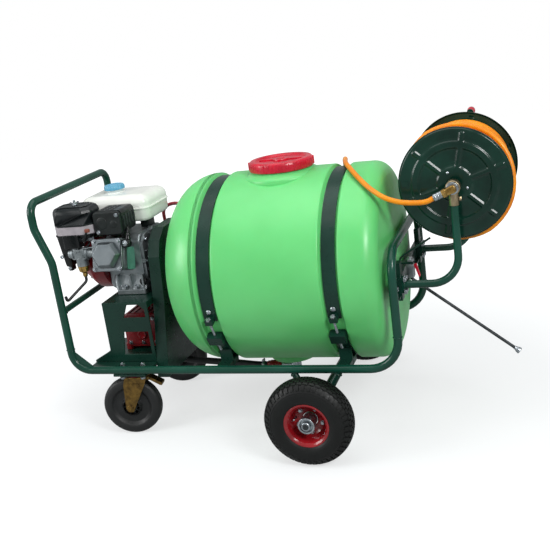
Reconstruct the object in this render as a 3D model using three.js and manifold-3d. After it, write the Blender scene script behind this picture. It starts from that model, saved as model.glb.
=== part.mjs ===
// Wheeled sprayer cart: tank, petrol engine, plunger pump and hose reel on a tube frame.
// Millimetres, +Z up. +X points to the hose reel, -Y to the side with the reel's hose inlet.
// Positions below count from the main axle: x 0 on the axle, y 0 on the centre plane, z 0 on the ground.
import * as THREE from "three";
import { mergeVertices } from "three/addons/utils/BufferGeometryUtils.js";
import Module from "manifold-3d";

const wasm = await Module();
wasm.setup();

// ---------- fits ----------
const seat = 0.3; // gap between pieces that rest on each other
const running = 0.6; // radial play of a shaft in its bearing
const sides = [-1, 1]; // near (-Y) and far (+Y) side of the cart

// ---------- driving dimensions ----------
const frameTube = 25; // outer diameter of rails, handle and end hoop
const braceTube = 20;
const reelTube = 22;
const railY = 252;
const railZ = 234;
const railBendLeft = 60;
const railBendRight = 88;
const railLeftTop = 300; // where the left rail end meets the handle
const railRightTop = 325; // where the right rail end meets the end hoop
const handleX = -797;
const handleTopX = -838;
const handleKinkZ = 592;
const handleLeanZ = 702;
const handleTopZ = 781;
const braceZ = 432;
const hoopX = 250;
const hoopTopZ = 575;
const hoopBend = 75;

const tankR = 296;
const tankZ = 486;
const tankLeft = -474;
const tankRight = 238;
const strapX = [-293, 82];
const strapWidth = 40;
const strapThick = 4;
const grooveR = 283;
const grooveWidth = 56;
const strapEndAngle = -18; // degrees below the tank's axis
const saddleEndAngle = -27;

const lidX = -103;
const lidR = 101;
const neckTopZ = tankZ + tankR + 5;
const lidHeight = 30;

const wheelR = 130;
const wheelY = 375;
const tyreHalf = 42;
const rimHalf = 34;
const axleTube = 25;
const spindleR = 10;

const casterX = -605; // swivel axis
const casterY = 200;
const casterTrail = 35;
const casterSwivel = 8.4; // degrees, as the casters stand at rest
const casterR = 95;
const casterHalf = 22;

const platformLeft = -693;
const platformRight = -536;
const platformZ = 436;
const standY = 190;
const standPlate = 5;
const windowRight = platformRight - 12; // the stand's side windows leave a strip of 12 mm here
const trayZ = 231;
const trayThick = 6;
const trayLeft = -752;

const shaftZ = 538; // engine crankshaft height
const pumpShaftZ = 300;
const beltX = -515;
const enginePulleyR = 38;
const pumpPulleyR = 80;

const reelX = 425;
const reelZ = 730;
const reelR = 155;
const reelY = 142; // disc planes
const bracketY = 179;
const bracketZ = 460;
const bracketX = 272;
const coreR = 118;
const reelHoseD = 14.5;
const reelLoops = 16;

// ---------- solids ----------
function solid(geometry) {
  const bare = new THREE.BufferGeometry();
  bare.setAttribute("position", geometry.getAttribute("position").clone());
  if (geometry.index) {
    bare.setIndex(geometry.index.clone());
  }
  const merged = mergeVertices(bare, 1e-4);
  const index = Array.from(merged.index.array);
  const kept = [];
  for (let i = 0; i < index.length; i += 3) {
    const [a, b, c] = [index[i], index[i + 1], index[i + 2]];
    if (a !== b && b !== c && c !== a) {
      kept.push(a, b, c);
    }
  }
  const build = (triangles) => new wasm.Manifold(new wasm.Mesh({
    numProp: 3,
    vertProperties: new Float32Array(merged.getAttribute("position").array),
    triVerts: new Uint32Array(triangles),
  }));
  const made = build(kept);
  if (made.volume() > 0) {
    return made;
  }
  for (let i = 0; i < kept.length; i += 3) {
    [kept[i], kept[i + 1]] = [kept[i + 1], kept[i]];
  }
  return build(kept);
}

function shell(body) {
  const mesh = body.getMesh();
  const geometry = new THREE.BufferGeometry();
  const positions = new Float32Array(mesh.numVert * 3);
  for (let i = 0; i < mesh.numVert; i += 1) {
    for (let k = 0; k < 3; k += 1) {
      positions[i * 3 + k] = mesh.vertProperties[i * mesh.numProp + k];
    }
  }
  geometry.setAttribute("position", new THREE.BufferAttribute(positions, 3));
  geometry.setIndex(new THREE.BufferAttribute(new Uint32Array(mesh.triVerts), 1));
  return geometry;
}

function join(...bodies) {
  return bodies.reduce((a, b) => a.add(b));
}

const degrees = (angle) => (angle * Math.PI) / 180;
const vec = (x, y, z) => new THREE.Vector3(x, y, z);

// Turns a geometry made about +Y or extruded along +Z so that its length runs along the named axis.
const turnOf = {
  x: new THREE.Matrix4().makeBasis(vec(0, 1, 0), vec(1, 0, 0), vec(0, 0, -1)),
  y: new THREE.Matrix4(),
  z: new THREE.Matrix4().makeBasis(vec(1, 0, 0), vec(0, 0, 1), vec(0, -1, 0)),
};
const planeOf = {
  xy: new THREE.Matrix4(),
  xz: new THREE.Matrix4().makeBasis(vec(1, 0, 0), vec(0, 0, 1), vec(0, -1, 0)),
  yz: new THREE.Matrix4().makeBasis(vec(0, 1, 0), vec(0, 0, 1), vec(1, 0, 0)),
};

function block(center, size) {
  return solid(new THREE.BoxGeometry(...size).translate(...center));
}

function span(x, y, z) {
  const mid = [x, y, z].map(([low, high]) => (low + high) / 2);
  return block(mid, [x, y, z].map(([low, high]) => high - low));
}

// A rod about x, y or z; taper is the radius at its high end.
function rod(axis, center, radius, length, segments = 10, taper = radius) {
  const geometry = new THREE.CylinderGeometry(taper, radius, length, segments);
  return solid(geometry.applyMatrix4(turnOf[axis]).translate(...center));
}

// A turned piece: profile points are [radius, place along the axis].
function turned(axis, center, profile, segments = 20) {
  const points = profile.map(([r, h]) => new THREE.Vector2(r, h));
  const geometry = new THREE.LatheGeometry(points, segments);
  return solid(geometry.applyMatrix4(turnOf[axis]).translate(...center));
}

// A flat piece: outline in the named plane, thickness centred on the place given across it.
function plate(plane, outline, place, thickness, holes = []) {
  const shape = new THREE.Shape(outline.map(([u, v]) => new THREE.Vector2(u, v)));
  holes.forEach((hole) => shape.holes.push(new THREE.Path(hole.map(([u, v]) => new THREE.Vector2(u, v)))));
  const geometry = new THREE.ExtrudeGeometry(shape, { depth: thickness, bevelEnabled: false });
  geometry.translate(0, 0, -thickness / 2);
  const move = { xy: [0, 0, place], xz: [0, place, 0], yz: [place, 0, 0] }[plane];
  return solid(geometry.applyMatrix4(planeOf[plane]).translate(...move));
}

// A block whose edges along one axis are rounded.
function pad(plane, [u0, u1], [v0, v1], [w0, w1], radius, steps = 2) {
  const outline = [];
  const corners = [[u1 - radius, v0 + radius, -90], [u1 - radius, v1 - radius, 0],
    [u0 + radius, v1 - radius, 90], [u0 + radius, v0 + radius, 180]];
  corners.forEach(([cu, cv, start]) => {
    for (let i = 0; i <= steps; i += 1) {
      const a = degrees(start + (90 * i) / steps);
      outline.push([cu + radius * Math.cos(a), cv + radius * Math.sin(a)]);
    }
  });
  return plate(plane, outline, (w0 + w1) / 2, w1 - w0);
}

class ListPath extends THREE.Curve {
  constructor(points) {
    super();
    this.points = points;
  }

  getPoint(t) {
    const last = this.points.length - 1;
    const i = Math.min(Math.floor(t * last + 1e-6), last - 1);
    return this.points[i].clone().lerp(this.points[i + 1], t * last - i);
  }

  getPointAt(u) {
    return this.getPoint(u);
  }

  getTangentAt(u) {
    const last = this.points.length - 1;
    const i = Math.round(u * last);
    const before = this.points[Math.max(i - 1, 0)];
    const after = this.points[Math.min(i + 1, last)];
    return after.clone().sub(before).normalize();
  }
}

// Rounds the corners of a run of straight lengths; each corner has its own bend radius.
function bend(corners, radii, stepAngle = 30) {
  const points = [vec(...corners[0])];
  for (let i = 1; i < corners.length - 1; i += 1) {
    const here = vec(...corners[i]);
    const back = vec(...corners[i - 1]).sub(here);
    const ahead = vec(...corners[i + 1]).sub(here);
    const turn = Math.PI - back.angleTo(ahead);
    const reach = radii[i - 1] * Math.tan(turn / 2);
    const entry = here.clone().add(back.setLength(reach));
    const exit = here.clone().add(ahead.setLength(reach));
    const toCentre = back.clone().normalize().add(ahead.clone().normalize()).normalize();
    const centre = here.clone().add(toCentre.multiplyScalar(radii[i - 1] / Math.cos(turn / 2)));
    const axis = entry.clone().sub(centre).cross(exit.clone().sub(centre)).normalize();
    const count = Math.max(1, Math.round((turn * 180) / Math.PI / stepAngle));
    for (let k = 0; k <= count; k += 1) {
      const spoke = entry.clone().sub(centre).applyAxisAngle(axis, (turn * k) / count);
      points.push(centre.clone().add(spoke));
    }
  }
  points.push(vec(...corners[corners.length - 1]));
  return points;
}

const tubeSides = 8;
function tube(points, diameter, sections = tubeSides) {
  const ring = [];
  for (let i = 0; i < sections; i += 1) {
    const a = (2 * Math.PI * (i + 0.5)) / sections;
    ring.push(new THREE.Vector2((diameter / 2) * Math.cos(a), (diameter / 2) * Math.sin(a)));
  }
  const options = { steps: points.length - 1, extrudePath: new ListPath(points), bevelEnabled: false };
  return solid(new THREE.ExtrudeGeometry(new THREE.Shape(ring), options));
}

function bar(from, to, diameter, sections = tubeSides) {
  return tube([vec(...from), vec(...to)], diameter, sections);
}

// A smooth hose through the points given; its first and last lengths stay straight.
function hose(points, diameter, steps, sections) {
  const route = points.map((q) => vec(...q));
  const [start, lead] = route;
  const [tail, end] = route.slice(-2);
  const curve = new THREE.CatmullRomCurve3(route, false, "centripetal");
  const clear = (q) => q.distanceTo(start) > 1.5 * lead.distanceTo(start)
    && q.distanceTo(end) > 1.5 * tail.distanceTo(end);
  return tube([start, lead, ...curve.getSpacedPoints(steps).filter(clear), tail, end], diameter, sections);
}

// A curved flat strip round the tank's axis, from one angle to the other (0 at the near side, 90 on top).
// It bends where the tank's own facets meet, so the gap between them stays even.
const tankFacets = 24;
function wrap(x, width, innerR, outerR, fromAngle, toAngle) {
  const facet = 360 / tankFacets;
  const angles = [fromAngle];
  for (let a = facet * Math.ceil((fromAngle + 91) / facet) - 90; a < toAngle - 1; a += facet) {
    angles.push(a);
  }
  angles.push(toAngle);
  const at = (r) => angles.map((a) => [-r * Math.cos(degrees(a)), tankZ + r * Math.sin(degrees(a))]);
  return plate("yz", [...at(outerR), ...at(innerR).reverse()], x, width);
}

// ---------- materials ----------
const paint = (color, roughness, metalness) => new THREE.MeshStandardMaterial({ color, roughness, metalness });
const finish = {
  greenPaint: () => paint(0x12382f, 0.35, 0.0),
  tankPlastic: () => paint(0x63c46b, 0.4, 0.0),
  redPlastic: () => paint(0xd01433, 0.35, 0.0),
  redPaint: () => paint(0xc21f2a, 0.3, 0.1),
  rubber: () => paint(0x17181a, 0.8, 0.0),
  zincYellow: () => paint(0x9a8448, 0.4, 0.9),
  zinc: () => paint(0xaab0b4, 0.4, 0.9),
  castAluminium: () => paint(0xa7adaf, 0.45, 0.8),
  castIron: () => paint(0x35383a, 0.6, 0.6),
  brass: () => paint(0xb5924a, 0.35, 0.9),
  blackPlastic: () => paint(0x1b1d20, 0.5, 0.0),
  whitePaint: () => paint(0xe8ebe6, 0.3, 0.0),
  maroonPaint: () => paint(0x6b1a20, 0.35, 0.1),
  bluePlastic: () => paint(0x3a7fb5, 0.4, 0.0),
  orangeHose: () => paint(0xf09a1c, 0.45, 0.0),
  blackHose: () => paint(0x202224, 0.6, 0.0),
  redHose: () => paint(0xb52a35, 0.5, 0.0),
};

const cart = new THREE.Group();
cart.name = "wheeled_sprayer_cart";

function add(name, body, material, parent = cart) {
  const mesh = new THREE.Mesh(shell(body), material());
  mesh.name = name;
  parent.add(mesh);
  return mesh;
}

const sideName = (side) => (side < 0 ? "near" : "far");

// ---------- frame ----------
function rail(side) {
  const y = side * railY;
  const corners = [[handleX, y, railLeftTop], [handleX, y, railZ], [hoopX, y, railZ], [hoopX, y, railRightTop]];
  const path = bend(corners, [railBendLeft, railBendRight]);
  const inner = frameTube / 2 - 4;
  const gusset = plate("xz", [[handleX + inner, railLeftTop - 2], [handleX + inner, railZ + 30],
    [handleX + 40, railZ + inner], [handleX + 74, railZ + inner]], y, 6);
  return join(tube(path, frameTube), gusset);
}

function handleLoop() {
  const z0 = railLeftTop + seat;
  const half = [[handleX, z0], [handleX - 2, handleKinkZ], [handleTopX, handleLeanZ], [handleTopX, handleTopZ]];
  const near = half.map(([x, z]) => [x, -railY, z]);
  const far = half.map(([x, z]) => [x, railY, z]).reverse();
  return tube(bend([...near, ...far], [70, 70, 45, 45, 70, 70]), frameTube);
}

function endHoop() {
  const z0 = railRightTop + seat;
  const corners = [[hoopX, -railY, z0], [hoopX, -railY, hoopTopZ], [hoopX, railY, hoopTopZ],
    [hoopX, railY, z0]];
  return tube(bend(corners, [hoopBend, hoopBend]), frameTube);
}

const railFlat = (frameTube / 2) * Math.cos(Math.PI / tubeSides);
const insideRail = railY - railFlat - seat;
sides.forEach((side) => add(`rail_${sideName(side)}`, rail(side), finish.greenPaint));
add("handle_loop", handleLoop(), finish.greenPaint);
add("handle_brace", bar([handleX - 1, -insideRail, braceZ], [handleX - 1, insideRail, braceZ], braceTube),
  finish.greenPaint);
add("end_hoop", endHoop(), finish.greenPaint);

// The plate between the uprights carries the two reel bars, the gun's clip and the reel's guide rod.
const crossPlateX = 249;
const barX = crossPlateX + 9;
const gunX = 277;
const gunY = -100;
function crossPlate() {
  const strip = span([crossPlateX - 2, crossPlateX + 2], [-insideRail, insideRail], [430, 488]);
  const lips = [430, 484].map((z) => span([crossPlateX - 2, crossPlateX + 12],
    [-insideRail + 14, insideRail - 14], [z, z + 4]));
  const bars = sides.map((side) => span([crossPlateX, bracketX - seat - 8],
    [side * bracketY - 16, side * bracketY + 16], [417, 527]));
  const guide = tube(bend([[crossPlateX + 4, gunY - 30, 486], [crossPlateX + 4, gunY - 30, 524],
    [345, gunY - 30, 579]], [18]), 6, 8);
  const fork = span([crossPlateX, gunX + 12], [gunY - 13, gunY + 13], [500, 504]);
  const throat = span([gunX - 7 - seat, gunX + 20], [gunY - 7 - seat, gunY + 7 + seat], [499, 505]);
  const forkArm = span([crossPlateX, crossPlateX + 4], [gunY - 13, gunY + 13], [486, 502]);
  return join(strip, ...lips, ...bars, guide, fork.subtract(throat), forkArm);
}
add("cross_plate", crossPlate(), finish.greenPaint);

// ---------- engine stand ----------
function standSide(side) {
  const x0 = platformLeft;
  const x1 = platformRight;
  const low = trayZ + trayThick + seat;
  const outline = [[x0 - 60, low], [x1, low], [x1, platformZ - 2], [x0, platformZ - 2], [x0, low + 38],
    [x0 - 60, low + 6]];
  const upperTop = platformZ - 8;
  const upper = [[x0 + 69, 386], [windowRight, 386], [windowRight, upperTop - 18], [windowRight - 18, upperTop],
    [x0 + 86, upperTop]];
  const lower = [[x0 + 49, 263], [windowRight, 263], [windowRight, 338], [x0 + 61, 338]];
  return plate("xz", outline, side * standY, standPlate, [upper, lower]);
}
function engineStand() {
  const y = standY + standPlate / 2;
  const top = span([platformLeft, platformRight], [-y, y], [platformZ - 5, platformZ]);
  const ends = [platformLeft + 2.5, platformRight - 2.5].map((x) => span([x - 2.5, x + 2.5], [-y, y],
    [platformZ - 20, platformZ]));
  const window = span([-655, -575], [-60, 60], [platformZ - 10, platformZ + 5]);
  return join(top, ...ends, ...sides.map(standSide)).subtract(window);
}
add("engine_stand", engineStand(), finish.greenPaint);

const suctionX = -715;
const suctionY = 40;
function pumpTray() {
  const slot = span([trayLeft - 5, suctionX + 22], [suctionY - 22, suctionY + 22], [trayZ - 5, trayZ + 20]);
  return span([trayLeft, platformRight], [-insideRail, insideRail], [trayZ, trayZ + trayThick]).subtract(slot);
}
add("pump_tray", pumpTray(), finish.greenPaint);

// The channel under the rails that both casters bolt to.
const underRail = railZ - railFlat - seat;
const casterPlateZ = underRail - 8 - 5;
function casterCrossbar() {
  const channel = span([casterX - 55, casterX + 55], [-railY - 8, railY + 8], [underRail - 8, underRail]);
  const pads = sides.map((side) => span([casterX - 50, casterX + 50],
    [side * casterY - 43, side * casterY + 43], [casterPlateZ, underRail - 4]));
  return join(channel, ...pads);
}
add("caster_crossbar", casterCrossbar(), finish.greenPaint);

// Open towards the engine; the pulleys and the belt run inside.
const guardFace = -497;
function beltGuard() {
  const half = [[205, 188], [185, 273], [145, 426], [128, 560], [105, 610], [60, 640]];
  const outline = [...half, ...half.map(([y, z]) => [-y, z]).reverse()];
  const inner = outline.map(([y, z]) => [y - Math.sign(y) * 3, z + (z > 400 ? -3 : 3)]);
  const depth = platformRight + seat;
  const full = plate("yz", outline, (guardFace + depth) / 2, guardFace - depth);
  const hollow = plate("yz", inner, (guardFace - 3 + depth - 5) / 2, guardFace - 3 - depth + 5);
  return full.subtract(hollow);
}
add("belt_guard", beltGuard(), finish.greenPaint);

// ---------- axle ----------
function axleFrame() {
  const spindleEnd = wheelY + tyreHalf - 1;
  const beam = rod("y", [0, 0, wheelR], axleTube / 2, 2 * (wheelY - rimHalf - 6));
  const spindle = rod("y", [0, 0, wheelR], spindleR, 2 * spindleEnd);
  const nuts = sides.map((side) => rod("y", [0, side * (spindleEnd - 2.5), wheelR], 14, 5, 6));
  const struts = sides.flatMap((side) => sides.map((end) => bar([end * 72, side * railY, underRail + 4],
    [end * 12, side * (railY + 14), wheelR], braceTube)));
  const coping = sides.map((side) => rod("x", [0, side * railY, railZ], frameTube / 2 + 3 * seat, 300, 12));
  const above = span([-200, 200], [-railY - 40, railY + 40], [railZ - 4, railZ + 30]);
  return coping.reduce((a, b) => a.subtract(b), join(beam, spindle, ...nuts, ...struts)).subtract(above);
}
add("axle_frame", axleFrame(), finish.greenPaint);

const wheelFacets = 20;
const tyreProfile = [[58.8, 28.4], [66, 34], [84, tyreHalf], [106, 41], [124, 29], [wheelR, 10]];
const hubHalf = 35.5;
const rimProfile = [[spindleR + running, hubHalf], [21, hubHalf], [21, -4], [54, 2], [55.5, 31], [63, rimHalf],
  [58.4, 29], [58.4, -29], [63, -rimHalf], [55.5, -31], [54, -12], [21, -16], [21, -hubHalf],
  [spindleR + running, -hubHalf]];
function tyre(side) {
  const mirrored = tyreProfile.map(([r, h]) => [r, -h]).reverse();
  return turned("y", [0, side * wheelY, wheelR], [...tyreProfile, ...mirrored, tyreProfile[0]], wheelFacets);
}
function rim(side) {
  const profile = rimProfile.map(([r, h]) => [r, -h * side]);
  return turned("y", [0, side * wheelY, wheelR], [...profile, profile[0]], wheelFacets);
}
sides.forEach((side) => {
  add(`tyre_${sideName(side)}`, tyre(side), finish.rubber);
  add(`rim_${sideName(side)}`, rim(side), finish.redPaint);
});

// ---------- casters ----------
// Each is drawn straight, trailing to -X from its swivel axis, and then turned with the caster's group.
const casterBoltR = 8;
function casterFork() {
  const top = rod("z", [0, 0, 198], 40, 6, 12);
  const race = rod("z", [0, 0, (casterPlateZ - seat + 200) / 2], 30, casterPlateZ - seat - 200, 12);
  const cheeks = sides.map((side) => plate("xz", [[-38, 198], [34, 198], [26, 176], [-casterTrail + 14, 92],
    [-casterTrail + 8, 80], [-casterTrail - 8, 80], [-casterTrail - 14, 92], [-46, 176]], side * 29, 4));
  const bolt = rod("y", [-casterTrail, 0, casterR], casterBoltR, 70, 10);
  const bridge = span([-44, 34], [-31, 31], [192, 198]);
  const lugs = sides.map((side) => span([30, 42], [side * 20 - 3, side * 20 + 3], [186, 198]));
  return join(top, race, ...cheeks, bolt, bridge, ...lugs);
}
function casterWheel() {
  const half = [[casterBoltR + running, casterHalf + 3], [22, casterHalf + 3], [24, 8], [60, 8],
    [80, casterHalf], [casterR, 9]];
  const mirrored = half.map(([r, h]) => [r, -h]).reverse();
  return turned("y", [-casterTrail, 0, casterR], [...half, ...mirrored, half[0]], 16);
}
function casterPedal() {
  const pedal = plate("xz", [[34, 189], [42, 190], [78, 167], [76, 159], [70, 160], [36, 182]], 0, 30);
  const pin = rod("y", [38, 0, 187], 4, 34 - 2 * seat, 12);
  return join(pedal, pin);
}
sides.forEach((side) => {
  const group = new THREE.Group();
  group.position.set(casterX, side * casterY, 0);
  group.rotation.z = degrees(casterSwivel);
  cart.add(group);
  add(`caster_fork_${sideName(side)}`, casterFork(), finish.zincYellow, group);
  add(`caster_wheel_${sideName(side)}`, casterWheel(), finish.rubber, group);
  add(`caster_pedal_${sideName(side)}`, casterPedal(), finish.zincYellow, group);
});

// ---------- tank ----------
const wall = 6;
const domeDepth = 20;
const leftShoulder = 132;
const rightShoulder = 48;
function tankEnd(tip, shoulder, radius, depth, inward, steps) {
  const rim = radius - shoulder;
  const cap = (rim * rim + depth * depth) / (2 * depth);
  const points = [];
  for (let i = 0; i <= 1; i += 1) {
    const r = rim * i;
    points.push([r, tip + inward * (cap - Math.sqrt(cap * cap - r * r))]);
  }
  for (let i = 1; i <= steps; i += 1) {
    const a = degrees((90 * i) / steps);
    points.push([rim + shoulder * Math.sin(a), tip + inward * (depth + shoulder * (1 - Math.cos(a)))]);
  }
  return points;
}
function tankShape(offset, grooves, steps) {
  const r = tankR - offset;
  const left = tankEnd(tankLeft + offset, leftShoulder - offset, r, domeDepth, 1, steps);
  const right = tankEnd(tankRight - offset, rightShoulder - offset / 2, r, domeDepth, -1, steps - 2).reverse();
  const floor = grooveR - offset;
  const slope = 4;
  const cuts = grooves ? strapX.flatMap((x) => [[r, x - grooveWidth / 2], [floor, x - grooveWidth / 2 + slope],
    [floor, x + grooveWidth / 2 - slope], [r, x + grooveWidth / 2]]) : [];
  return [...left.slice(0, -1), ...cuts, ...right.slice(grooves ? 1 : 0)];
}
const neckR = 90;
const sumpX = -140;
const sumpR = 85;
const sumpZ = tankZ - tankR - 18;
const returnPort = { y: 110, z: 665 };
function tank() {
  const center = [0, 0, tankZ];
  const outer = turned("x", center, tankShape(0, true, 4), tankFacets);
  const inner = turned("x", center, tankShape(wall, true, 3), tankFacets / 2);
  const neckTop = neckTopZ + 19;
  const neckFoot = tankZ + tankR - 22;
  const neck = rod("z", [lidX, 0, (neckTop + neckFoot) / 2], neckR, neckTop - neckFoot, 20);
  const bore = rod("z", [lidX, 0, neckFoot], neckR - 8, 120, 20);
  const sumpTop = tankZ - tankR + 70;
  const sump = turned("z", [sumpX, 0, 0], [[0, sumpZ], [48, sumpZ], [74, sumpZ + 8], [sumpR, sumpZ + 28],
    [sumpR, sumpTop], [0, sumpTop]], 16);
  const sumpHollow = turned("z", [sumpX, 0, 0], [[0, sumpZ + wall], [46, sumpZ + wall], [70, sumpZ + 14],
    [sumpR - wall, sumpZ + 32], [sumpR - wall, sumpTop + 2], [0, sumpTop + 2]], 12);
  const port = rod("x", [-452, returnPort.y, returnPort.z], 11, 46, 14);
  return join(outer, neck, sump, port).subtract(inner).subtract(bore).subtract(sumpHollow);
}
add("tank", tank(), finish.tankPlastic);

const lidPlay = 0.5; // the lid's roof over the neck's rim
function lid() {
  const top = neckTopZ + lidHeight;
  const under = neckTopZ + 19 + lidPlay;
  const body = turned("z", [lidX, 0, 0], [[neckR + 2.5, neckTopZ + seat], [lidR - 3, neckTopZ + seat],
    [lidR - 3, top - 3], [lidR - 6, top], [78, top], [75, top - 6], [0, top - 6], [0, under],
    [neckR + 2.5, under], [neckR + 2.5, neckTopZ + seat]], 18);
  const ribs = [0, 60, 120, 180, 240, 300].map((angle) => solid(
    new THREE.BoxGeometry(6, 9, lidHeight - 6).translate(lidR - 3, 0, 0).rotateZ(degrees(angle + 12))
      .translate(lidX, 0, neckTopZ + seat + lidHeight / 2 - 1)));
  return join(body, ...ribs);
}
add("tank_lid", lid(), finish.redPlastic);

// Radial plates and rods of the straps are placed by angle round the tank's axis on the near side and mirrored.
const around = (r, angle) => [-r * Math.cos(degrees(angle)), tankZ + r * Math.sin(degrees(angle))];
const tensionR = grooveR + 20;
// The tension rod's line runs from the strap's end lug down through the saddle's bracket.
function tensionRod(x, side, from, to, diameter) {
  const [low, high] = [around(tensionR, saddleEndAngle - 13), around(tensionR, strapEndAngle + 2)];
  const at = (share) => [x, -side * (high[0] + (low[0] - high[0]) * share),
    high[1] + (low[1] - high[1]) * share];
  return bar(at(from), at(to), diameter, 6);
}
function radialBlock(x, side, width, innerR, outerR, lowAngle, highAngle) {
  const corners = [around(innerR, lowAngle), around(outerR, lowAngle), around(outerR, highAngle),
    around(innerR, highAngle)];
  return plate("yz", corners.map(([y, z]) => [-side * y, z]), x, width);
}
function strap(x) {
  const inner = grooveR + seat;
  const band = wrap(x, strapWidth, inner, inner + strapThick, strapEndAngle, 180 - strapEndAngle);
  const ends = sides.flatMap((side) => [
    radialBlock(x, side, 24, inner + 1, tensionR + 6, strapEndAngle, strapEndAngle + 4),
    tensionRod(x, side, 0, 0.92, 8),
    tensionRod(x, side, 0.74, 0.83, 15),
  ]);
  return join(band, ...ends);
}
function saddle(x) {
  const inner = grooveR + seat;
  const cradle = wrap(x, strapWidth, inner, inner + 5, -180 - saddleEndAngle, saddleEndAngle);
  const parts = sides.flatMap((side) => {
    const stub = [side * 152, side * insideRail].sort((a, b) => a - b);
    return [
      radialBlock(x, side, 46, inner + 1, tensionR + 9, saddleEndAngle - 6, saddleEndAngle),
      span([x - 19, x + 19], [side * 200 - 4, side * 200 + 4], [226, 279]),
      span([x - 19, x + 19], stub, [223, 243]),
    ];
  });
  const holes = sides.map((side) => tensionRod(x, side, -0.1, 1.1, 11));
  return holes.reduce((a, b) => a.subtract(b), join(cradle, ...parts));
}
strapX.forEach((x, i) => {
  add(`saddle_${["left", "right"][i]}`, saddle(x), finish.greenPaint);
  add(`strap_${["left", "right"][i]}`, strap(x), finish.greenPaint);
});

// ---------- outlet under the sump ----------
const outletZ = sumpZ - 31;
const valveX = [-238, -188.3];
function sumpFitting() {
  const top = sumpZ - seat;
  const foot = outletZ - 13;
  const flange = rod("z", [sumpX, 0, top - 4], 30, 8, 12);
  const body = rod("z", [sumpX, 0, (top - 2 + foot) / 2], 17, top - 2 - foot, 12);
  const arm = rod("x", [(sumpX + valveX[1] + seat) / 2, 0, outletZ], 11, sumpX - valveX[1] - seat, 10);
  return join(flange, body, arm);
}
function outletValve() {
  const [x0, x1] = valveX;
  const mid = (x0 + x1) / 2;
  const end = (x1 - x0) / 2;
  const body = turned("x", [mid, 0, outletZ], [[0, -end], [11, -end], [12, -16], [16, -14], [16, 14], [12, 16],
    [11, end], [0, end]], 12);
  const stem = rod("y", [mid, -18, outletZ], 6, 12, 12);
  return join(body, stem);
}
function outletLever() {
  const mid = (valveX[0] + valveX[1]) / 2;
  const arm = plate("xz", [[mid - 64, outletZ - 6], [mid + 8, outletZ - 8], [mid + 8, outletZ + 8],
    [mid - 64, outletZ + 6]], -26.5, 4);
  return join(arm, span([mid - 64, mid - 30], [-32, -26], [outletZ - 6, outletZ + 6]));
}
add("sump_fitting", sumpFitting(), finish.zinc);
add("outlet_valve", outletValve(), finish.redPaint);
add("outlet_lever", outletLever(), finish.redPlastic);

// ---------- engine ----------
const engineX = [-700, -562];
const cylinderX = -650;
const cylinderTilt = -16; // the cylinder leans up towards the near side
const tilted = (body) => body.translate([0, 0, -shaftZ]).rotate([cylinderTilt, 0, 0]).translate([0, 0, shaftZ]);
function crankcase() {
  const [x0, x1] = engineX;
  const foot = span([-672, -570], [-115, 92], [platformZ + seat, platformZ + 17]);
  const body = pad("yz", [-96, 92], [platformZ + 12, 628], [x0, x1], 26);
  const face = rod("x", [x1 + 4, 0, shaftZ], 52, 12, 16);
  const boss = rod("x", [x1 + 10, 0, shaftZ], 22, 8, 12);
  const dipstick = rod("y", [-578, -100, 476], 12, 18, 10);
  const cut = tilted(span([x0 - 20, x1 + 20], [-400, -92], [shaftZ - 56, shaftZ + 120]));
  return join(foot, body, face, boss).subtract(cut).add(dipstick);
}
function cylinder() {
  const half = 50;
  const barrel = span([cylinderX - 38, cylinderX + 38], [-152, -92 - seat], [shaftZ - 36, shaftZ + 38]);
  const fins = [0, 1, 2, 3, 4].map((i) => span([cylinderX - half, cylinderX + half],
    [-146 + i * 11, -142 + i * 11], [shaftZ - 50, shaftZ + 50]));
  const head = pad("xz", [cylinderX - half, cylinderX + half], [shaftZ - 50, shaftZ + 50], [-178, -151], 8, 2);
  const plug = rod("x", [cylinderX + half + 11, -162, shaftZ + 34], 12, 26, 10);
  const lead = rod("z", [cylinderX + half + 16, -162, shaftZ + 50], 7, 34, 10);
  return tilted(join(barrel, ...fins, head, plug, lead));
}
function valveCover() {
  const half = 52;
  const flange = pad("xz", [cylinderX - half, cylinderX + half], [shaftZ - half, shaftZ + half],
    [-184, -178 - seat], 12);
  const dome = rod("y", [cylinderX, -194, shaftZ], 44, 22, 6, 50);
  const corners = [[-42, -42], [-42, 42], [42, -42], [42, 42]];
  const bolts = corners.map(([u, v]) => rod("y", [cylinderX + u, -186, shaftZ + v], 6, 6, 6));
  return tilted(join(flange, dome, ...bolts));
}
const fan = { y: -10, z: 561, r: 122, x: [-765, engineX[0] - seat] };
function fanHousing() {
  const mid = (fan.x[0] + fan.x[1]) / 2;
  return rod("x", [mid, fan.y, fan.z], fan.r, fan.x[1] - fan.x[0], 24);
}
function recoilStarter() {
  const face = fan.x[0] - seat;
  const cover = turned("x", [face, 0, shaftZ], [[0, -40], [60, -40], [72, -34], [86, -6], [88, 0], [0, 0]], 16);
  const guide = rod("y", [face - 20, 84, shaftZ + 20], 8, 20, 12);
  return join(cover, guide);
}
const gripX = fan.x[0] - seat - 20;
function recoilGrip() {
  const stem = rod("y", [gripX, 99.3, shaftZ + 20], 6, 10, 10);
  const grip = rod("z", [gripX, 110, shaftZ + 20], 9, 66, 10);
  return join(stem, grip);
}
const fuelX = [-800, -548];
const fuelY = [-46, 142];
const fuelZ = [655, 742];
const capX = -700;
const capY = 45;
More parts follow.
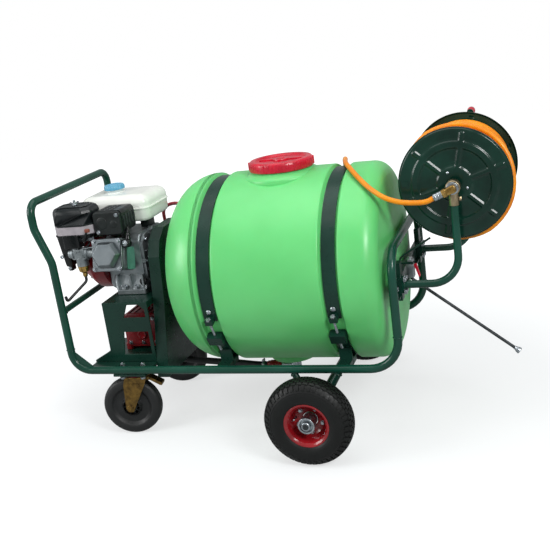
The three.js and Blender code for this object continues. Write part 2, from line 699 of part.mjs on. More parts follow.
function fuelTank() {
  const body = pad("xz", fuelX, fuelZ, fuelY, 26, 4);
  const overFan = span([fuelX[0] - 5, engineX[0] + 2], [fuelY[0] - 5, fuelY[1] + 5], [640, fan.z + fan.r + 1]);
  const legs = [-682, -592].map((x) => span([x - 14, x + 14], [0, 50], [628 + seat, 662]));
  const neck = rod("z", [capX, capY, fuelZ[1] + 3], 26, 14, 14);
  const bore = rod("z", [capX, capY, fuelZ[1] + 3], 18, 40, 12);
  const low = span([-688, fuelX[1] - 10], [fuelY[0] + 10, fuelY[1] - 10], [665, 732]);
  const high = span([fuelX[0] + 10, -680], [fuelY[0] + 10, fuelY[1] - 10], [694, 732]);
  return join(body.subtract(overFan), ...legs, neck).subtract(join(low, high, bore));
}
function fuelCap() {
  const z = fuelZ[1] + 10 + seat;
  return turned("z", [capX, capY, 0], [[0, z], [34, z], [34, z + 10], [30, z + 15], [0, z + 16]], 12);
}
const airX = [-829, -692];
const airY = [-170, -72];
const airZ = 655;
function airCleaner() {
  const band = pad("xy", airX, [airY[0], airY[1] - 18], [airZ, 684], 10);
  const box = span([airX[0] + 2, airX[0] + 34], [-158, -92], [550, airZ + 1]);
  const duct = span([airX[0] + 30, -742], [-172, -134], [612, airZ + 1]);
  const cover = pad("xy", airX, [airY[0] - 2, airY[1] + 2], [683, 738], 14);
  const top = pad("xy", [airX[0] + 8, airX[1] - 4], [airY[0] + 6, airY[1] - 6], [737, 743], 10);
  return join(band, box, duct, cover, top, rod("z", [-760, -120, 750], 4, 16, 8));
}
const carb = { x: -752, y: fan.y - fan.r - 20, z: 592 };
function carburettor() {
  const throat = rod("x", [-746, carb.y, carb.z], 15, 92 - 2 * seat, 10);
  const rise = rod("z", [carb.x - 14, carb.y, 602], 14, 19, 12);
  const bowl = turned("z", [carb.x, carb.y, 0], [[0, 518], [7, 518], [7, 530], [17, 536], [19, 550], [19, 580],
    [0, 580]], 10);
  const drain = tube(bend([[carb.x, carb.y, 522], [carb.x, carb.y, 500], [handleX + 6, -224, 456],
    [handleX + 6, -228, 474]], [12, 8]), 8, 6);
  return join(throat, rise, bowl, drain);
}
function throttleLever() {
  const arm = plate("xz", [[-726, 636], [-718, 634], [-699, 668], [-704, 672]], -176, 3);
  const pin = rod("y", [-722, -140.5, 640], 3.5, 71, 8);
  const knob = rod("y", [-702, -179, 671], 6, 8);
  return join(arm, pin, knob);
}
const mufflerX = [-690, -594];
function muffler() {
  const body = pad("xz", mufflerX, [645, 720], [-152, fuelY[0] - 3], 9);
  const pipe = rod("z", [-612, -108, 636], 12, 24, 10);
  return join(body, pipe);
}
add("crankcase", crankcase(), finish.castAluminium);
add("cylinder_head", cylinder(), finish.castAluminium);
add("valve_cover", valveCover(), finish.castAluminium);
add("fan_housing", fanHousing(), finish.maroonPaint);
add("recoil_starter", recoilStarter(), finish.maroonPaint);
add("recoil_grip", recoilGrip(), finish.blackPlastic);
add("fuel_tank", fuelTank(), finish.whitePaint);
add("fuel_cap", fuelCap(), finish.bluePlastic);
add("air_cleaner", airCleaner(), finish.blackPlastic);
add("carburettor", carburettor(), finish.brass);
add("throttle_lever", throttleLever(), finish.blackPlastic);
add("muffler", muffler(), finish.blackPlastic);

// ---------- belt drive ----------
const beltThick = 8;
function pulley(centerZ, radius, shaftEnd) {
  const flange = radius + beltThick + 1;
  const profile = [[0, -13], [flange, -13], [flange, -9], [radius, -8], [radius, 8], [flange, 9], [flange, 13],
    [0, 13]];
  const wheel = turned("x", [beltX, 0, centerZ], profile, 16);
  const shaft = rod("x", [(shaftEnd + beltX) / 2, 0, centerZ], spindleR, beltX - shaftEnd);
  return join(wheel, shaft);
}
function beltLoop(r1, r2) {
  const reach = shaftZ - pumpShaftZ;
  const lean = Math.asin((r2 - r1) / reach);
  const outline = [];
  for (let i = 0; i <= 10; i += 1) {
    const a = lean + ((Math.PI - 2 * lean) * i) / 10;
    outline.push([r1 * Math.cos(a), shaftZ + r1 * Math.sin(a)]);
  }
  for (let i = 0; i <= 16; i += 1) {
    const a = Math.PI - lean + ((Math.PI + 2 * lean) * i) / 16;
    outline.push([r2 * Math.cos(a), pumpShaftZ + r2 * Math.sin(a)]);
  }
  return outline;
}
function belt() {
  const play = 1;
  const inner = beltLoop(enginePulleyR + play, pumpPulleyR + play);
  const outer = beltLoop(enginePulleyR + play + beltThick, pumpPulleyR + play + beltThick);
  return plate("yz", outer, beltX, 14, [inner]);
}
add("engine_pulley", pulley(shaftZ, enginePulleyR, engineX[1] + 14 + seat), finish.castIron);
add("pump_pulley", pulley(pumpShaftZ, pumpPulleyR, -556 + seat), finish.castIron);
add("drive_belt", belt(), finish.rubber);

// ---------- pump ----------
const trayTop = trayZ + trayThick + seat;
const outletX = -600;
const outletPumpZ = 318;
const returnY = 72;
function pumpBody() {
  const case1 = pad("xz", [-688, -560], [246, 362], [-88, 36], 16);
  const feet = [-680, -568].map((x) => span([x - 8, x + 8], [-92, 30], [trayTop, 266]));
  const boss = rod("x", [-566, 0, pumpShaftZ], 26, 20, 10);
  const manifold = pad("xz", [-682, -570], [262, 336], [30, 95], 8, 2);
  const caps = [-657, -627, -597].map((x) => rod("y", [x, 98, 284], 12, 14, 6));
  const chamber = turned("z", [-640, 65, 0], [[0, 330], [12, 330], [12, 342], [21, 350], [22, 376], [15, 390],
    [0, 394]], 12);
  const outlet = rod("y", [outletX, 105, outletPumpZ], 10, 24, 10);
  const back = rod("z", [outletX, returnY, 340], 9, 14, 10);
  const regulator = rod("z", [-674, 65, 351], 10, 40, 10);
  const inletArm = rod("x", [-700, suctionY, 292], 12, 44, 10);
  const inletDrop = rod("z", [suctionX, suctionY, 284], 12.5, 28, 10);
  return join(case1, ...feet, boss, manifold, ...caps, chamber, outlet, back, regulator, inletArm, inletDrop);
}
function regulatorLever() {
  const hub = rod("z", [-674, 65, 371 + seat + 5.5], 9, 11);
  return join(hub, span([-728, -674], [60, 70], [376, 382]));
}
add("pump_body", pumpBody(), finish.maroonPaint);
add("regulator_lever", regulatorLever(), finish.redPlastic);

// ---------- hoses ----------
const hoseR = tankR + reelHoseD / 2 + 4;
const overTank = (x, angle) => [x, ...around(hoseR, angle)];
const elbowY = -206;
const elbowReach = 54;
const elbowDrop = degrees(22.8);
const elbowAt = (reach) => [reelX - reach * Math.cos(elbowDrop), elbowY, reelZ - reach * Math.sin(elbowDrop)];
const deliveryRoute = [
  [outletX, 117 + seat, outletPumpZ], [outletX, 135, outletPumpZ], [outletX + 2, 160, outletPumpZ - 3],
  [-583, 196, 308], [-545, 219, 290], [-490, 224, 268], [-420, 223, 258], [-300, 223, 257], [-150, 223, 257],
  [-70, 225, 259], [-20, 231, 273], [8, 252, 305], overTank(22, 205), overTank(26, 190), overTank(30, 170),
  overTank(36, 150), overTank(48, 130), overTank(66, 112), overTank(86, 98), overTank(104, 84),
  overTank(128, 74.5), overTank(157, 65.5), [198, -172, 740], [241, -194, 716], [283, -202, 703],
  [324, elbowY, 699.5],
  elbowAt(elbowReach + 22), elbowAt(elbowReach)];
const returnRoute = [
  [outletX, returnY, 347 + seat], [outletX, returnY, 361], [outletX, returnY + 12, 388], [outletX, 118, 404],
  [outletX, 165, 406], [-602, 203, 414], [-606, 226, 444], [-611, 230, 495], [-616, 222, 545],
  [-617, 206, 600], [-606, 188, 638], [-580, 174, 658], [-546, 158, 666], [-514, 130, 667],
  [-491, returnPort.y, returnPort.z],
  [-475 - seat, returnPort.y, returnPort.z]];
const suctionRoute = [
  [valveX[0] - seat, 0, outletZ], [valveX[0] - 28, 0, outletZ], [-335, 2, 147], [-430, 6, 152], [-520, 14, 156],
  [-590, 26, 160], [-640, 36, 168], [-680, 44, 186], [-704, suctionY - 1, 212], [-713, suctionY, 240],
  [suctionX, suctionY, 256], [suctionX, suctionY, 270 - seat]];
add("delivery_hose", hose(deliveryRoute, reelHoseD, 36, 7), finish.orangeHose);
add("return_hose", hose(returnRoute, 12, 17, 6), finish.redHose);
add("suction_hose", hose(suctionRoute, 22, 15, 7), finish.blackHose);

// ---------- reel ----------
const shaftR = 10;
const shaftEnd = 194;
const bearingHalf = 13;
function reelBracket(side) {
  const y = side * bracketY;
  const flangeX = barX + 5.7 + seat;
  const corners = [[flangeX + 2, y, bracketZ], [reelX, y, bracketZ], [reelX, y, reelZ - 40]];
  const post = tube(bend(corners, [80]), reelTube);
  const flange = span([flangeX, flangeX + 6], [y - 15, y + 15], [bracketZ - 22, bracketZ + 22]);
  const socket = rod("z", [reelX, y, reelZ - 32], 14, 36, 10);
  const sleeve = rod("y", [reelX, y, reelZ], 20, 2 * bearingHalf, 14);
  const bore = rod("y", [reelX, y, reelZ], shaftR + running, 4 * bearingHalf, 14);
  return join(post, flange, socket, sleeve).subtract(bore);
}
const discProfile = [[shaftR + seat, -1], [52, -1], [58, 3], [98, 3], [106, -1], [148, -1], [reelR, 6],
  [153, 8], [146, 1], [107, 1], [99, 5], [57, 5], [51, 1], [shaftR + seat, 1]];
const endAngle = -180;
const endR = 136;
const endY = -126;
function reelDisc(side) {
  const profile = discProfile.map(([r, h]) => [r, -h * side]);
  const disc = turned("y", [reelX, side * reelY, reelZ], [...profile, profile[0]], 20);
  if (side > 0) {
    return disc;
  }
  const x = reelX - endR;
  return disc.add(span([x - 9, x + 9], [-reelY, endY + 9], [reelZ, reelZ + 16]));
}
const coreEnd = reelY - 1 - seat;
const startY = 126;
// The crank arm stands outside the far bracket, so that arm and knob clear it as they turn.
const armY = [shaftEnd, shaftEnd + 6];
const knobAt = { x: reelX + 21, z: reelZ + 143 };
function crankArm() {
  const lean = Math.atan2(knobAt.z - reelZ, knobAt.x - reelX);
  const outline = [];
  [[reelX, reelZ, 15, 90], [knobAt.x, knobAt.z, 10, -90]].forEach(([x, z, r, start]) => {
    for (let i = 0; i <= 4; i += 1) {
      const a = lean + degrees(start + 45 * i);
      outline.push([x + r * Math.cos(a), z + r * Math.sin(a)]);
    }
  });
  return plate("xz", outline, (armY[0] + armY[1]) / 2, armY[1] - armY[0]);
}
function reelCore() {
  const drum = turned("y", [reelX, 0, reelZ], [[coreR - 3, -coreEnd], [coreR, -coreEnd], [coreR, coreEnd],
    [coreR - 3, coreEnd], [coreR - 3, 3], [shaftR - 1, 3], [shaftR - 1, -3], [coreR - 3, -3],
    [coreR - 3, -coreEnd]], 20);
  const shaft = rod("y", [reelX, 1, reelZ], shaftR, 2 * shaftEnd + 2, 14);
  const outlet = span([reelX - coreR - 16, reelX - coreR + 4], [startY - 6.5, startY + 9], [reelZ - 18, reelZ]);
  return join(drum, shaft, outlet, crankArm());
}
const windR = coreR + reelHoseD / 2 + 2;
const loopSteps = 20;
const looseTurn = [[180, windR], [135, windR + 2], [90, 137], [60, 145], [30, 150], [0, 153], [-30, 158],
  [-60, 162], [-90, 158], [-120, 150], [-150, 142], [-180, endR]];
function looseRadius(angle) {
  const i = Math.max(1, looseTurn.findIndex(([a]) => a <= angle));
  const [[a0, r0], [a1, r1]] = [looseTurn[i - 1], looseTurn[i]];
  return r0 + ((r1 - r0) * (a0 - angle)) / (a0 - a1);
}
function windingPoints() {
  const points = [];
  const place = (r, angle, y, along = 0) => points.push(vec(
    reelX + r * Math.cos(degrees(angle)) + along * Math.sin(degrees(angle)), y,
    reelZ + r * Math.sin(degrees(angle)) - along * Math.cos(degrees(angle))));
  const tight = reelLoops - 1;
  const pitch = (startY + 99) / tight;
  place(windR, 180, startY, seat);
  place(windR, 180, startY, reelHoseD);
  for (let i = 1; i < tight * loopSteps; i += 1) {
    place(windR, 180 - (360 * i) / loopSteps, startY - (pitch * i) / loopSteps);
  }
  for (let i = 0; i < loopSteps - 1; i += 1) {
    const angle = 180 - (360 * i) / loopSteps;
    const looseY = startY - pitch * tight;
    place(looseRadius(angle), angle, looseY + ((endY - looseY) * i) / loopSteps);
  }
  place(endR, endAngle, endY, -reelHoseD);
  place(endR, endAngle, endY, -seat);
  return points;
}
function leastGap(points, diameter, skip) {
  let least = Infinity;
  for (let i = 0; i < points.length; i += 1) {
    for (let k = i + skip; k < points.length; k += 1) {
      least = Math.min(least, points[i].distanceTo(points[k]) - diameter);
    }
  }
  return least;
}
const winding = windingPoints();
let woundLength = 0;
winding.slice(1).forEach((q, i) => {
  woundLength += q.distanceTo(winding[i]);
});
console.log(`reel hose: ${reelLoops} loops, ${(woundLength / 1000).toFixed(2)} m shown, least gap to itself `
  + `${leastGap(winding, reelHoseD, loopSteps / 2).toFixed(2)} mm`);

function swivelElbow() {
  const collar = rod("y", [reelX, -shaftEnd - seat - 2.5, reelZ], 17, 5);
  const body = rod("y", [reelX, (elbowY - 9 - shaftEnd - 1) / 2, reelZ], 11, -elbowY + 9 - shaftEnd - 1);
  const nose = bar(elbowAt(0), elbowAt(elbowReach - 12), 19, 10);
  const crimp = bar(elbowAt(elbowReach - 26), elbowAt(elbowReach - seat), 21, 10);
  return join(collar, body, nose, crimp);
}
function crankKnob() {
  return turned("y", [knobAt.x, armY[1] + seat, knobAt.z], [[0, 0], [9, 0], [9, 6], [12, 34], [11, 44],
    [0, 47]], 10);
}
sides.forEach((side) => add(`reel_bracket_${sideName(side)}`, reelBracket(side), finish.greenPaint));
sides.forEach((side) => add(`reel_disc_${sideName(side)}`, reelDisc(side), finish.greenPaint));
add("reel_core", reelCore(), finish.greenPaint);
add("reel_hose", tube(winding, reelHoseD, 5), finish.orangeHose);
add("swivel_elbow", swivelElbow(), finish.brass);
add("crank_knob", crankKnob(), finish.redPlastic);

// ---------- spray gun ----------
const lanceEnd = [565, gunY, 224];
function sprayGun() {
  const body = pad("xz", [gunX - 11, gunX + 11], [456, 498], [gunY - 10, gunY + 10], 5, 2);
  const inlet = rod("z", [gunX, gunY, 507], 7, 22, 10);
  const nut = rod("z", [gunX, gunY, 508.5], 11, 8.4, 6);
  const lance = tube(bend([[gunX, gunY, 462], [gunX, gunY, 452], lanceEnd], [12]), 9);
  const tip = vec(...lanceEnd);
  const way = tip.clone().sub(vec(gunX, gunY, 452)).normalize();
  const skirt = bar(tip.clone().sub(way.clone().multiplyScalar(12)).toArray(),
    tip.clone().add(way.clone().multiplyScalar(4)).toArray(), 19, 10);
  return join(body, inlet, nut, lance, skirt);
}
function gunTrigger() {
  return plate("xz", [[288.3, 495], [295, 497], [304, 459], [299, 457], [291.5, 482], [288.3, 490.5]], gunY, 9);
}
add("spray_gun", sprayGun(), finish.castAluminium);
add("gun_trigger", gunTrigger(), finish.redPlastic);

// The part stands with the centre of its box over the origin.
const box = new THREE.Box3().setFromObject(cart, true);
cart.position.x = -(box.min.x + box.max.x) / 2;
cart.updateMatrixWorld(true);

export default cart;
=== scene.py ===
# Wheeled sprayer cart, dressed over its CAD frame. Metres, x to the hose reel, y away from the camera, z up.
import math
import bpy
import bmesh
from mathutils import Matrix, Vector


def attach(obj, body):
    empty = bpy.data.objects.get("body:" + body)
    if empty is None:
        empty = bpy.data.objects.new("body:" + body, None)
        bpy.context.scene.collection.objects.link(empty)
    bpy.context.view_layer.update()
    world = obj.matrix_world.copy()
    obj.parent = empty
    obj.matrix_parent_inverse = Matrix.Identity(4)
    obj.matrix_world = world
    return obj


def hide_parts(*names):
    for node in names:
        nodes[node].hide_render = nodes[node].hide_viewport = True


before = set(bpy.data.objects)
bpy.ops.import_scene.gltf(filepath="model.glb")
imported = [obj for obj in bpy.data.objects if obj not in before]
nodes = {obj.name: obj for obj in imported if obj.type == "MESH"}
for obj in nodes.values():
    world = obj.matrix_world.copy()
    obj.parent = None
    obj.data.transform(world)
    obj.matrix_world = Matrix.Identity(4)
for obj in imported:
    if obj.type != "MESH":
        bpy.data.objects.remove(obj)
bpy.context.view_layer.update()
axleX = 132.375  # mm from the row's middle to the main axle, where the part's own measures start


def row(place):  # the part's own millimetres to the row's metres
    return Vector(((place[0] + axleX) / 1000, place[1] / 1000, place[2] / 1000))


# Camera: angles in degrees, lens in mm for a 36 mm sensor, place in the part's mm.
camera = {"yaw": 19.2177, "pitch": 16.4639, "roll": -7.9258, "lens": 58.8007,
          "place": (723.791, -2569.648, 1251.313)}


def setCamera():
    yaw, pitch, roll = (math.radians(camera[k]) for k in ("yaw", "pitch", "roll"))
    ahead = Vector((-math.sin(yaw) * math.cos(pitch), math.cos(yaw) * math.cos(pitch), -math.sin(pitch)))
    level = Vector((math.cos(yaw), math.sin(yaw), 0))
    above = level.cross(ahead)
    right = level * math.cos(roll) + above * math.sin(roll)
    up = above * math.cos(roll) - level * math.sin(roll)
    data = bpy.data.cameras.new("photoCamera")
    data.sensor_width = 36
    data.lens = camera["lens"]
    data.clip_end = 60
    eye = bpy.data.objects.new("photoCamera", data)
    turn = Matrix((right, up, -ahead)).transposed()
    eye.matrix_world = Matrix.Translation(row(camera["place"])) @ turn.to_4x4()
    bpy.context.scene.collection.objects.link(eye)
    bpy.context.scene.camera = eye


setCamera()
print("camera set")


# Lines and shapes: lists of points and faces in the part's millimetres.
def rounded(points, radius, step=12, closed=False):
    # corners turned into arcs; step is degrees between points
    line = [Vector(p).to_3d() for p in points]
    count = len(line)
    radii = list(radius) if isinstance(radius, (list, tuple)) else [radius] * count
    if len(radii) == count - 2:
        radii = [0, *radii, 0]
    out = []
    for i, here in enumerate(line):
        if radii[i] <= 0 or (not closed and i in (0, count - 1)):
            out.append(here)
            continue
        back, on = line[i - 1] - here, line[(i + 1) % count] - here
        turn = math.pi - back.angle(on)
        if turn < 0.02:
            out.append(here)
            continue
        reach = min(radii[i] * math.tan(turn / 2), back.length * 0.49, on.length * 0.49)
        size = reach / math.tan(turn / 2)
        center = here + (back.normalized() + on.normalized()).normalized() * (size / math.cos(turn / 2))
        first = here + back.normalized() * reach - center
        last = here + on.normalized() * reach - center
        steps = max(2, round(math.degrees(turn) / step))
        for k in range(steps + 1):
            t = k / steps
            out.append(center + (first * math.sin((1 - t) * turn)
                                 + last * math.sin(t * turn)) / math.sin(turn))
    return out


def flat(points, radius, step=18, closed=True):  # the same in a plane
    return [(p.x, p.y) for p in rounded(points, radius, step, closed)]


def smoothLine(points):  # a smooth line through the points, with each length's own end directions
    ends = [Vector(p) for p in points]
    ends = [ends[0] * 2 - ends[1], *ends, ends[-1] * 2 - ends[-2]]
    spans = []
    for a, b, c, d in zip(ends, ends[1:], ends[2:], ends[3:]):
        t0, t1, t2 = (((q - p).length) ** 0.5 for p, q in ((a, b), (b, c), (c, d)))
        leave = ((b - a) / t0 - (c - a) / (t0 + t1) + (c - b) / t1) * t1
        reach = ((c - b) / t1 - (d - b) / (t1 + t2) + (d - c) / t2) * t1
        spans.append((b, leave, reach, c))
    return spans


def mapped(axis, u, v, w):  # u and v across the axis, w along it
    return {"x": (w, u, v), "y": (u, w, v), "z": (u, v, w)}[axis]


def turned(axis, center, profile, segments=64, arc=(0, 360)):
    # profile points are (radius, place along the axis)
    verts, faces = [], []
    whole = abs(arc[1] - arc[0]) >= 360
    rings = segments if whole else segments + 1
    for i in range(rings):
        a = math.radians(arc[0] + (arc[1] - arc[0]) * i / segments)
        for r, h in profile:
            p = mapped(axis, r * math.cos(a), r * math.sin(a), h)
            verts.append(tuple(center[k] + p[k] for k in range(3)))
    n = len(profile)
    for i in range(segments):
        here, there = i * n, ((i + 1) % rings) * n
        faces += [(here + j, here + j + 1, there + j + 1, there + j) for j in range(n - 1)]
    if not whole:
        faces.append(tuple(range(n - 1)))
        faces.append(tuple((rings - 1) * n + j for j in range(n - 1)))
    return verts, faces


def ring(axis, center, loop, segments=64):  # a closed section turned right round
    return turned(axis, center, [*loop, loop[0]], segments)


def roundSection(r, along, wide, high, steps=10):  # an oval section for a ring
    return [(r + wide * math.cos(a), along + high * math.sin(a)) for a in
            (2 * math.pi * k / steps for k in range(steps))]


def lathe(axis, center, profile, radius=1.0, segments=48):  # a solid of revolution with softened corners
    soft = flat([(0.0, profile[0][1]), *profile, (0.0, profile[-1][1])], radius, 30, False)
    return turned(axis, center, soft, segments)


def tubed(points, radius, sides=20, closed=False):
    line = [Vector(p) for p in points]
    count = len(line)
    verts, faces, side = [], [], None
    for i, here in enumerate(line):
        after = line[(i + 1) % count] if closed else line[min(i + 1, count - 1)]
        before = line[i - 1] if closed or i else line[0]
        way = (after - before).normalized()
        side = way.orthogonal() if side is None else side
        side = (side - way * side.dot(way)).normalized()
        up = way.cross(side)
        r = radius[i] if isinstance(radius, (list, tuple)) else radius
        for k in range(sides):
            a = 2 * math.pi * k / sides
            verts.append(tuple(here + (side * math.cos(a) + up * math.sin(a)) * r))
    for i in range(count if closed else count - 1):
        for k in range(sides):
            j = (i + 1) % count
            faces.append((i * sides + k, i * sides + (k + 1) % sides, j * sides + (k + 1) % sides,
                          j * sides + k))
    if not closed:
        faces.append(tuple(range(sides)))
        faces.append(tuple((count - 1) * sides + k for k in range(sides)))
    return verts, faces


def slab(plane, outline, low, high):  # an outline in a plane, given its thickness across the plane
    axis = {"yz": "x", "xz": "y", "xy": "z"}[plane]
    n = len(outline)
    verts = [mapped(axis, u, v, low) for u, v in outline] + [mapped(axis, u, v, high) for u, v in outline]
    faces = [(k, (k + 1) % n, n + (k + 1) % n, n + k) for k in range(n)]
    return verts, [*faces, tuple(range(n)), tuple(range(n, 2 * n))]


def outlineBox(u, v, radius, step=15):
    return flat([(u[0], v[0]), (u[1], v[0]), (u[1], v[1]), (u[0], v[1])], radius, step)


def casting(axis, u, v, w, corner, edge, edgeSteps=4, crown=0.0):
    # a block along an axis with round corners, softened ends and a slight crown on the high end
    du, dv = sum(u) / 2, sum(v) / 2
    hu, hv = (u[1] - u[0]) / 2, (v[1] - v[0]) / 2
    levels = []
    for k in range(edgeSteps + 1):
        a = math.pi / 2 * k / edgeSteps
        levels.append((edge * (1 - math.sin(a)), w[0] + edge * (1 - math.cos(a))))
    levels += [(inset, w[1] - (level - w[0])) for inset, level in reversed(levels)]
    verts, faces, n = [], [], 0
    for inset, level in levels:
        outline = outlineBox((-hu + inset, hu - inset), (-hv + inset, hv - inset), max(corner - inset, 0.5))
        n = len(outline)
        verts += [mapped(axis, du + a, dv + b, level) for a, b in outline]
    for i in range(len(levels) - 1):
        faces += [(i * n + k, i * n + (k + 1) % n, (i + 1) * n + (k + 1) % n, (i + 1) * n + k)
                  for k in range(n)]
    faces.append(tuple(range(n)))
    top = (len(levels) - 1) * n
    if crown:
        for share, lift in ((0.8, 0.45), (0.5, 0.82), (0.2, 0.98)):
            verts += [mapped(axis, du + a * share, dv + b * share, w[1] + crown * lift) for a, b in outline]
            here = len(verts) - n
            faces += [(top + k, top + (k + 1) % n, here + (k + 1) % n, here + k) for k in range(n)]
            top = here
    faces.append(tuple(top + k for k in range(n)))
    return verts, faces


def lofted(axis, levels):
    # outlines with the same number of points, each at its place along the axis, joined in order
    verts, faces = [], []
    n = len(levels[0][1])
    for level, outline in levels:
        verts += [mapped(axis, u, v, level) for u, v in outline]
    for i in range(len(levels) - 1):
        faces += [(i * n + k, i * n + (k + 1) % n, (i + 1) * n + (k + 1) % n, (i + 1) * n + k)
                  for k in range(n)]
    last = (len(levels) - 1) * n
    return verts, [*faces, tuple(range(n)), tuple(last + k for k in range(n))]


def fluted(axis, center, profile, count, depth, core, segments=96):
    # a knob with flutes in all beyond its core radius
    verts, faces = [], []
    for i in range(segments):
        a = 2 * math.pi * i / segments
        dip = depth * (0.5 - 0.5 * math.cos(count * a)) ** 2
        for r, h in [(0.0, profile[0][1]), *profile]:
            reach = r - dip if r > core else r
            p = mapped(axis, reach * math.cos(a), reach * math.sin(a), h)
            verts.append(tuple(center[k] + p[k] for k in range(3)))
    n = len(profile) + 1
    for i in range(segments):
        here, there = i * n, ((i + 1) % segments) * n
        faces += [(here + j, here + j + 1, there + j + 1, there + j) for j in range(n - 1)]
    faces.append(tuple(i * n + n - 1 for i in range(segments)))
    return verts, faces


def together(*shapes):
    verts, faces = [], []
    for more, moreFaces in shapes:
        start = len(verts)
        verts += more
        faces += [tuple(start + i for i in face) for face in moreFaces]
    return verts, faces


def moved(shape, turn):
    return [tuple(turn @ Vector(p)) for p in shape[0]], shape[1]


def aimed(place, way):  # stands a shape drawn up the z axis on a place, pointing another way
    return Matrix.Translation(place) @ Vector(way).to_track_quat("Z", "Y").to_matrix().to_4x4()


def mirrored(shape):
    return [(x, -y, z) for x, y, z in shape[0]], shape[1]


def bothSides(shape):
    return together(shape, mirrored(shape))


def hexBolt(place, way, across=13, height=5.5, washer=8.5, stub=0.0):
    head = turned("z", (0, 0, 1.4), [(0, 0), (across * 0.577, 0), (across * 0.577, height * 0.8),
                                     (across * 0.5, height), (0, height)], 6)
    disc = [(0, 0), (washer, 0), (washer, 1.2), (washer - 0.5, 1.6), (0, 1.6)]
    parts = [head, turned("z", (0, 0, 0), disc, 24)]
    if stub:
        parts.append(lathe("z", (0, 0, 0), [(across * 0.3, 0), (across * 0.3, height + stub)], 0.8, 16))
    return moved(together(*parts), aimed(place, way))


def weldBead(center, axis, radius, bead=2.4, steps=40):  # overlapping droplets round a joint
    line = [Vector(mapped(axis, radius * math.cos(a), radius * math.sin(a), 0)) + Vector(center)
            for a in (2 * math.pi * i / steps for i in range(steps))]
    return tubed(line, [bead * (1 + 0.16 * (i % 2)) for i in range(steps)], 8, True)


pieceCount = {}


def piece(name, shape, material, body, stands=(), bevel=0.0, steps=2, sharp=38, even=False):
    bm = bmesh.new()
    corners = [bm.verts.new(row(v)) for v in shape[0]]
    for face in shape[1]:
        if len(set(face)) > 2:
            bm.faces.new([corners[i] for i in face])
    bmesh.ops.remove_doubles(bm, verts=bm.verts, dist=3e-6)
    bmesh.ops.dissolve_degenerate(bm, dist=1e-6, edges=bm.edges)
    bmesh.ops.recalc_face_normals(bm, faces=bm.faces)
    if bevel:
        edges = [e for e in bm.edges if e.is_manifold and e.calc_face_angle(0) > math.radians(25)]
        bmesh.ops.bevel(bm, geom=edges, offset=bevel / 1000, segments=steps, profile=0.6, affect="EDGES",
                        clamp_overlap=True)
    mesh = bpy.data.meshes.new(name)
    bm.to_mesh(mesh)
    bm.free()
    mesh.shade_smooth()
    mesh.set_sharp_from_angle(angle=math.radians(sharp))
    mesh.materials.append(material)
    made = bpy.data.objects.new(name, mesh)
    bpy.context.scene.collection.objects.link(made)
    if bevel or even:  # broad flats stay flat to the light between their rounded edges
        level = made.modifiers.new("evenFlats", "WEIGHTED_NORMAL")
        level.weight = 90
        level.keep_sharp = True
    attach(made, body)
    if stands:
        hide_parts(*stands)
    pieceCount[name] = len(mesh.polygons)
    return made


def zincPart(name, shape, sharp=30, body="cart"):  # bolts and small fittings in clear zinc
    piece(name, shape, zincBright, body, sharp=sharp)


def dressNode(name, material, bevel=1.0):
    # a sheet or plate whose CAD shape is right gets softened edges and its finish
    node = nodes[name]
    node.data.materials.clear()
    node.data.materials.append(material)
    weld = node.modifiers.new("weld", "WELD")
    weld.merge_threshold = 2e-6
    soften = node.modifiers.new("soften", "BEVEL")
    soften.width = bevel / 1000
    soften.segments = 2
    soften.limit_method = "ANGLE"
    soften.angle_limit = math.radians(40)
    soften.harden_normals = True
    return node


# Materials, each from two tones of one colour, a range of roughness and a fine surface texture.
def linear(code):  # sRGB hex to linear colour
    parts = [int(code[i:i + 2], 16) / 255 for i in (1, 3, 5)]
    return (*[c / 12.92 if c <= 0.04045 else ((c + 0.055) / 1.055) ** 2.4 for c in parts], 1.0)


def addNode(tree, kind, settings=None, links=None):  # settings are sockets or node options, links are sources
    node = tree.nodes.new(kind)
    for key, value in (settings or {}).items():
        if isinstance(key, int) or key in node.inputs:
            node.inputs[key].default_value = value
        else:
            setattr(node, key, value)
    for key, source in (links or {}).items():
        tree.links.new(source, node.inputs[key])
    return node


def finish(name, look):
    # colour and shade are its two tones, patch their size in mm; rough is the range of roughness;
    # grain is the size of its surface texture in mm and depth that texture's height in mm
    material = bpy.data.materials.new(name)
    material.use_nodes = True
    tree = material.node_tree
    tree.nodes.clear()
    where = addNode(tree, "ShaderNodeTexCoord").outputs["Object"]
    patches = addNode(tree, "ShaderNodeTexNoise", {"Scale": 1000 / look["patch"], "Detail": 3.0},
                      {"Vector": where})
    tones = addNode(tree, "ShaderNodeValToRGB", links={"Fac": patches.outputs["Fac"]})
    for stop, place, tone in zip(tones.color_ramp.elements, (0.3, 0.7), ("shade", "colour")):
        stop.position = place
        stop.color = linear(look[tone])
    wear = addNode(tree, "ShaderNodeTexNoise", {"Scale": 1000 / look.get("wear", 12), "Detail": 4.0},
                   {"Vector": where})
    rough = addNode(tree, "ShaderNodeMapRange", {"From Min": 0.3, "From Max": 0.7, "To Min": look["rough"][0],
                                                 "To Max": look["rough"][1]}, {"Value": wear.outputs["Fac"]})
    fine = {"Scale": 1000 / look["grain"], "Detail": look.get("detail", 2.0)}
    grain = addNode(tree, "ShaderNodeTexNoise", fine, {"Vector": where})
    relief = {"Strength": look.get("strength", 0.5), "Distance": look["depth"] / 1000}
    bump = addNode(tree, "ShaderNodeBump", relief, {"Height": grain.outputs["Fac"]})
    settings = {"Metallic": look.get("metallic", 0.0), "Coat Weight": look.get("coat", 0.0),
                "Coat Roughness": 0.08}
    if not look.get("metallic"):
        settings["IOR"] = look["ior"]
    settings.update(look.get("more", {}))
    sources = {"Base Color": tones.outputs["Color"], "Roughness": rough.outputs["Result"],
               "Normal": bump.outputs["Normal"]}
    shader = addNode(tree, "ShaderNodeBsdfPrincipled", settings, sources)
    addNode(tree, "ShaderNodeOutputMaterial", links={"Surface": shader.outputs["BSDF"]})
    return material


